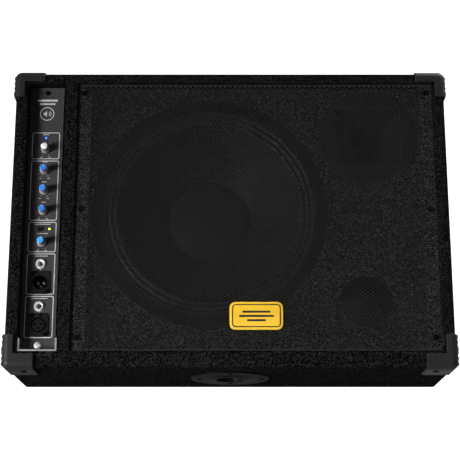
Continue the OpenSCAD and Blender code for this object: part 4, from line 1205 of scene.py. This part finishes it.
# copied from the CAD solid with eased edges: edge width in mm, body, material slot
EASED = {
    "panel_bracket": (0.4, CABINET, "bright_zinc"), "rear_plate": (0.3, CABINET, "rear_paint"),
    "mains_inlet": (0.4, CABINET, "xlr_shell"), "power_rocker": (0.5, "power_switch", "rocker_red"),
    "woofer_top_plate": (0.5, CABINET, "motor_steel"), "woofer_yoke": (0.6, CABINET, "motor_steel"),
    "woofer_magnet": (0.6, CABINET, "ferrite"), "compression_driver": (0.6, CABINET, "frame_steel"),
    "port_tube": (0.5, CABINET, "port_plastic"),
}


def dress_kept_nodes():
    for node, material in KEPT.items():
        for slot in NODES[node].material_slots:
            slot.material = material


def make_eased_parts():
    for node, (width, body, slot) in EASED.items():
        mesh = NODES[node].data.copy()
        mesh.materials.clear()
        obj = add(f"{node}_eased", mesh, KEPT[node], body, [node], ROW, sharp=35)
        ease = obj.modifiers.new("eased_edges", "BEVEL")
        ease.width = width * MM
        ease.segments = 2
        ease.limit_method = "ANGLE"
        ease.angle_limit = math.radians(40)
        ease.harden_normals = True


# ---------------------------------------------------------------- studio


FLOOR_HALF_WIDTH = 14.0
FLOOR_GLOW = 0.97


def area_light(name, size, power, spot, aim):
    """A square lamp of the given side in metres and power in watts."""
    data = bpy.data.lights.new(name, "AREA")
    data.shape = "RECTANGLE"
    data.size = data.size_y = size
    data.energy = power
    obj = linked(name, data)
    obj.location = spot
    obj.rotation_euler = (Vector(aim) - Vector(spot)).to_track_quat("-Z", "Y").to_euler()
    return obj


def floor_material():
    """Pale matt floor. What the camera sees of it is lifted towards white; it lights nothing itself."""
    n = Nodes("pale_floor")
    grain = n.noise(n.coords(), 8, 3)
    colour = n.mix(n.spread(grain, 0.3, 0.7, 0, 1), grey(0.34), grey(0.38))
    path = n.new("ShaderNodeLightPath")
    lift = n.new("ShaderNodeMath", operation="MULTIPLY")
    n.link(path.outputs["Is Camera Ray"], lift.inputs[0])
    lift.inputs[1].default_value = FLOOR_GLOW
    n.link(lift.outputs["Value"], n.bsdf.inputs["Emission Strength"])
    n.bsdf.inputs["Emission Color"].default_value = (1, 1, 1, 1)
    return n.surface(colour, Roughness=0.9, Specular_IOR_Level=0.0)


def make_studio():
    bm = bmesh.new()
    bmesh.ops.create_grid(bm, x_segments=8, y_segments=8, size=FLOOR_HALF_WIDTH)
    mesh = bpy.data.meshes.new("studio_floor")
    bm.to_mesh(mesh)
    bm.free()
    floor = linked("studio_floor", mesh)
    mesh.materials.append(floor_material())
    world = bpy.data.worlds.new("studio")
    world.use_nodes = True
    sky = world.node_tree.nodes["Background"]
    sky.inputs["Color"].default_value = (1, 1, 1, 1)
    sky.inputs["Strength"].default_value = 0.03
    bpy.context.scene.world = world
    middle = (0, 0, 0.2)
    key = area_light("key", 1.1, 9, (-1.95, -1.6, 1.1), (0.05, -0.2, 0.13))
    key.data.spread = math.radians(40)
    area_light("fill", 1.6, 3.2, (0.5, -1.5, 1.7), middle)
    area_light("back", 1.6, 100, (1.3, 1.8, 1.2), middle)
    bpy.context.scene.view_settings.view_transform = "Standard"


def make_camera():
    """Camera over the cabinet's middle, in the front frame, leaning up the slanted front."""
    eye = Vector((0, -255.7 * MM, 1554 * MM))
    along = Vector((0, 0.2689, -0.9632))
    up = Vector((0, 0.9632, 0.2689))
    side = along.cross(up)
    turn = Matrix((side, up, -along)).transposed().to_4x4()
    data = bpy.data.cameras.new("camera")
    data.sensor_width = 36
    data.lens = 97.826087
    data.clip_end = 60
    camera = linked("camera", data)
    camera.matrix_world = FRONT @ Matrix.Translation(eye) @ turn
    bpy.context.scene.camera = camera


# ---------------------------------------------------------------- assembly

dress_kept_nodes()
make_eased_parts()
make_carpet()
make_baffle_carpet()
make_guards()
make_pole_cup()
make_handle()
make_feet()
make_wadding()
make_grille()
make_badge()
make_print()
make_knobs()
make_jacks()
make_xlrs()
make_leds()
make_button()
make_surround()
make_cone()
make_studio()
make_camera()
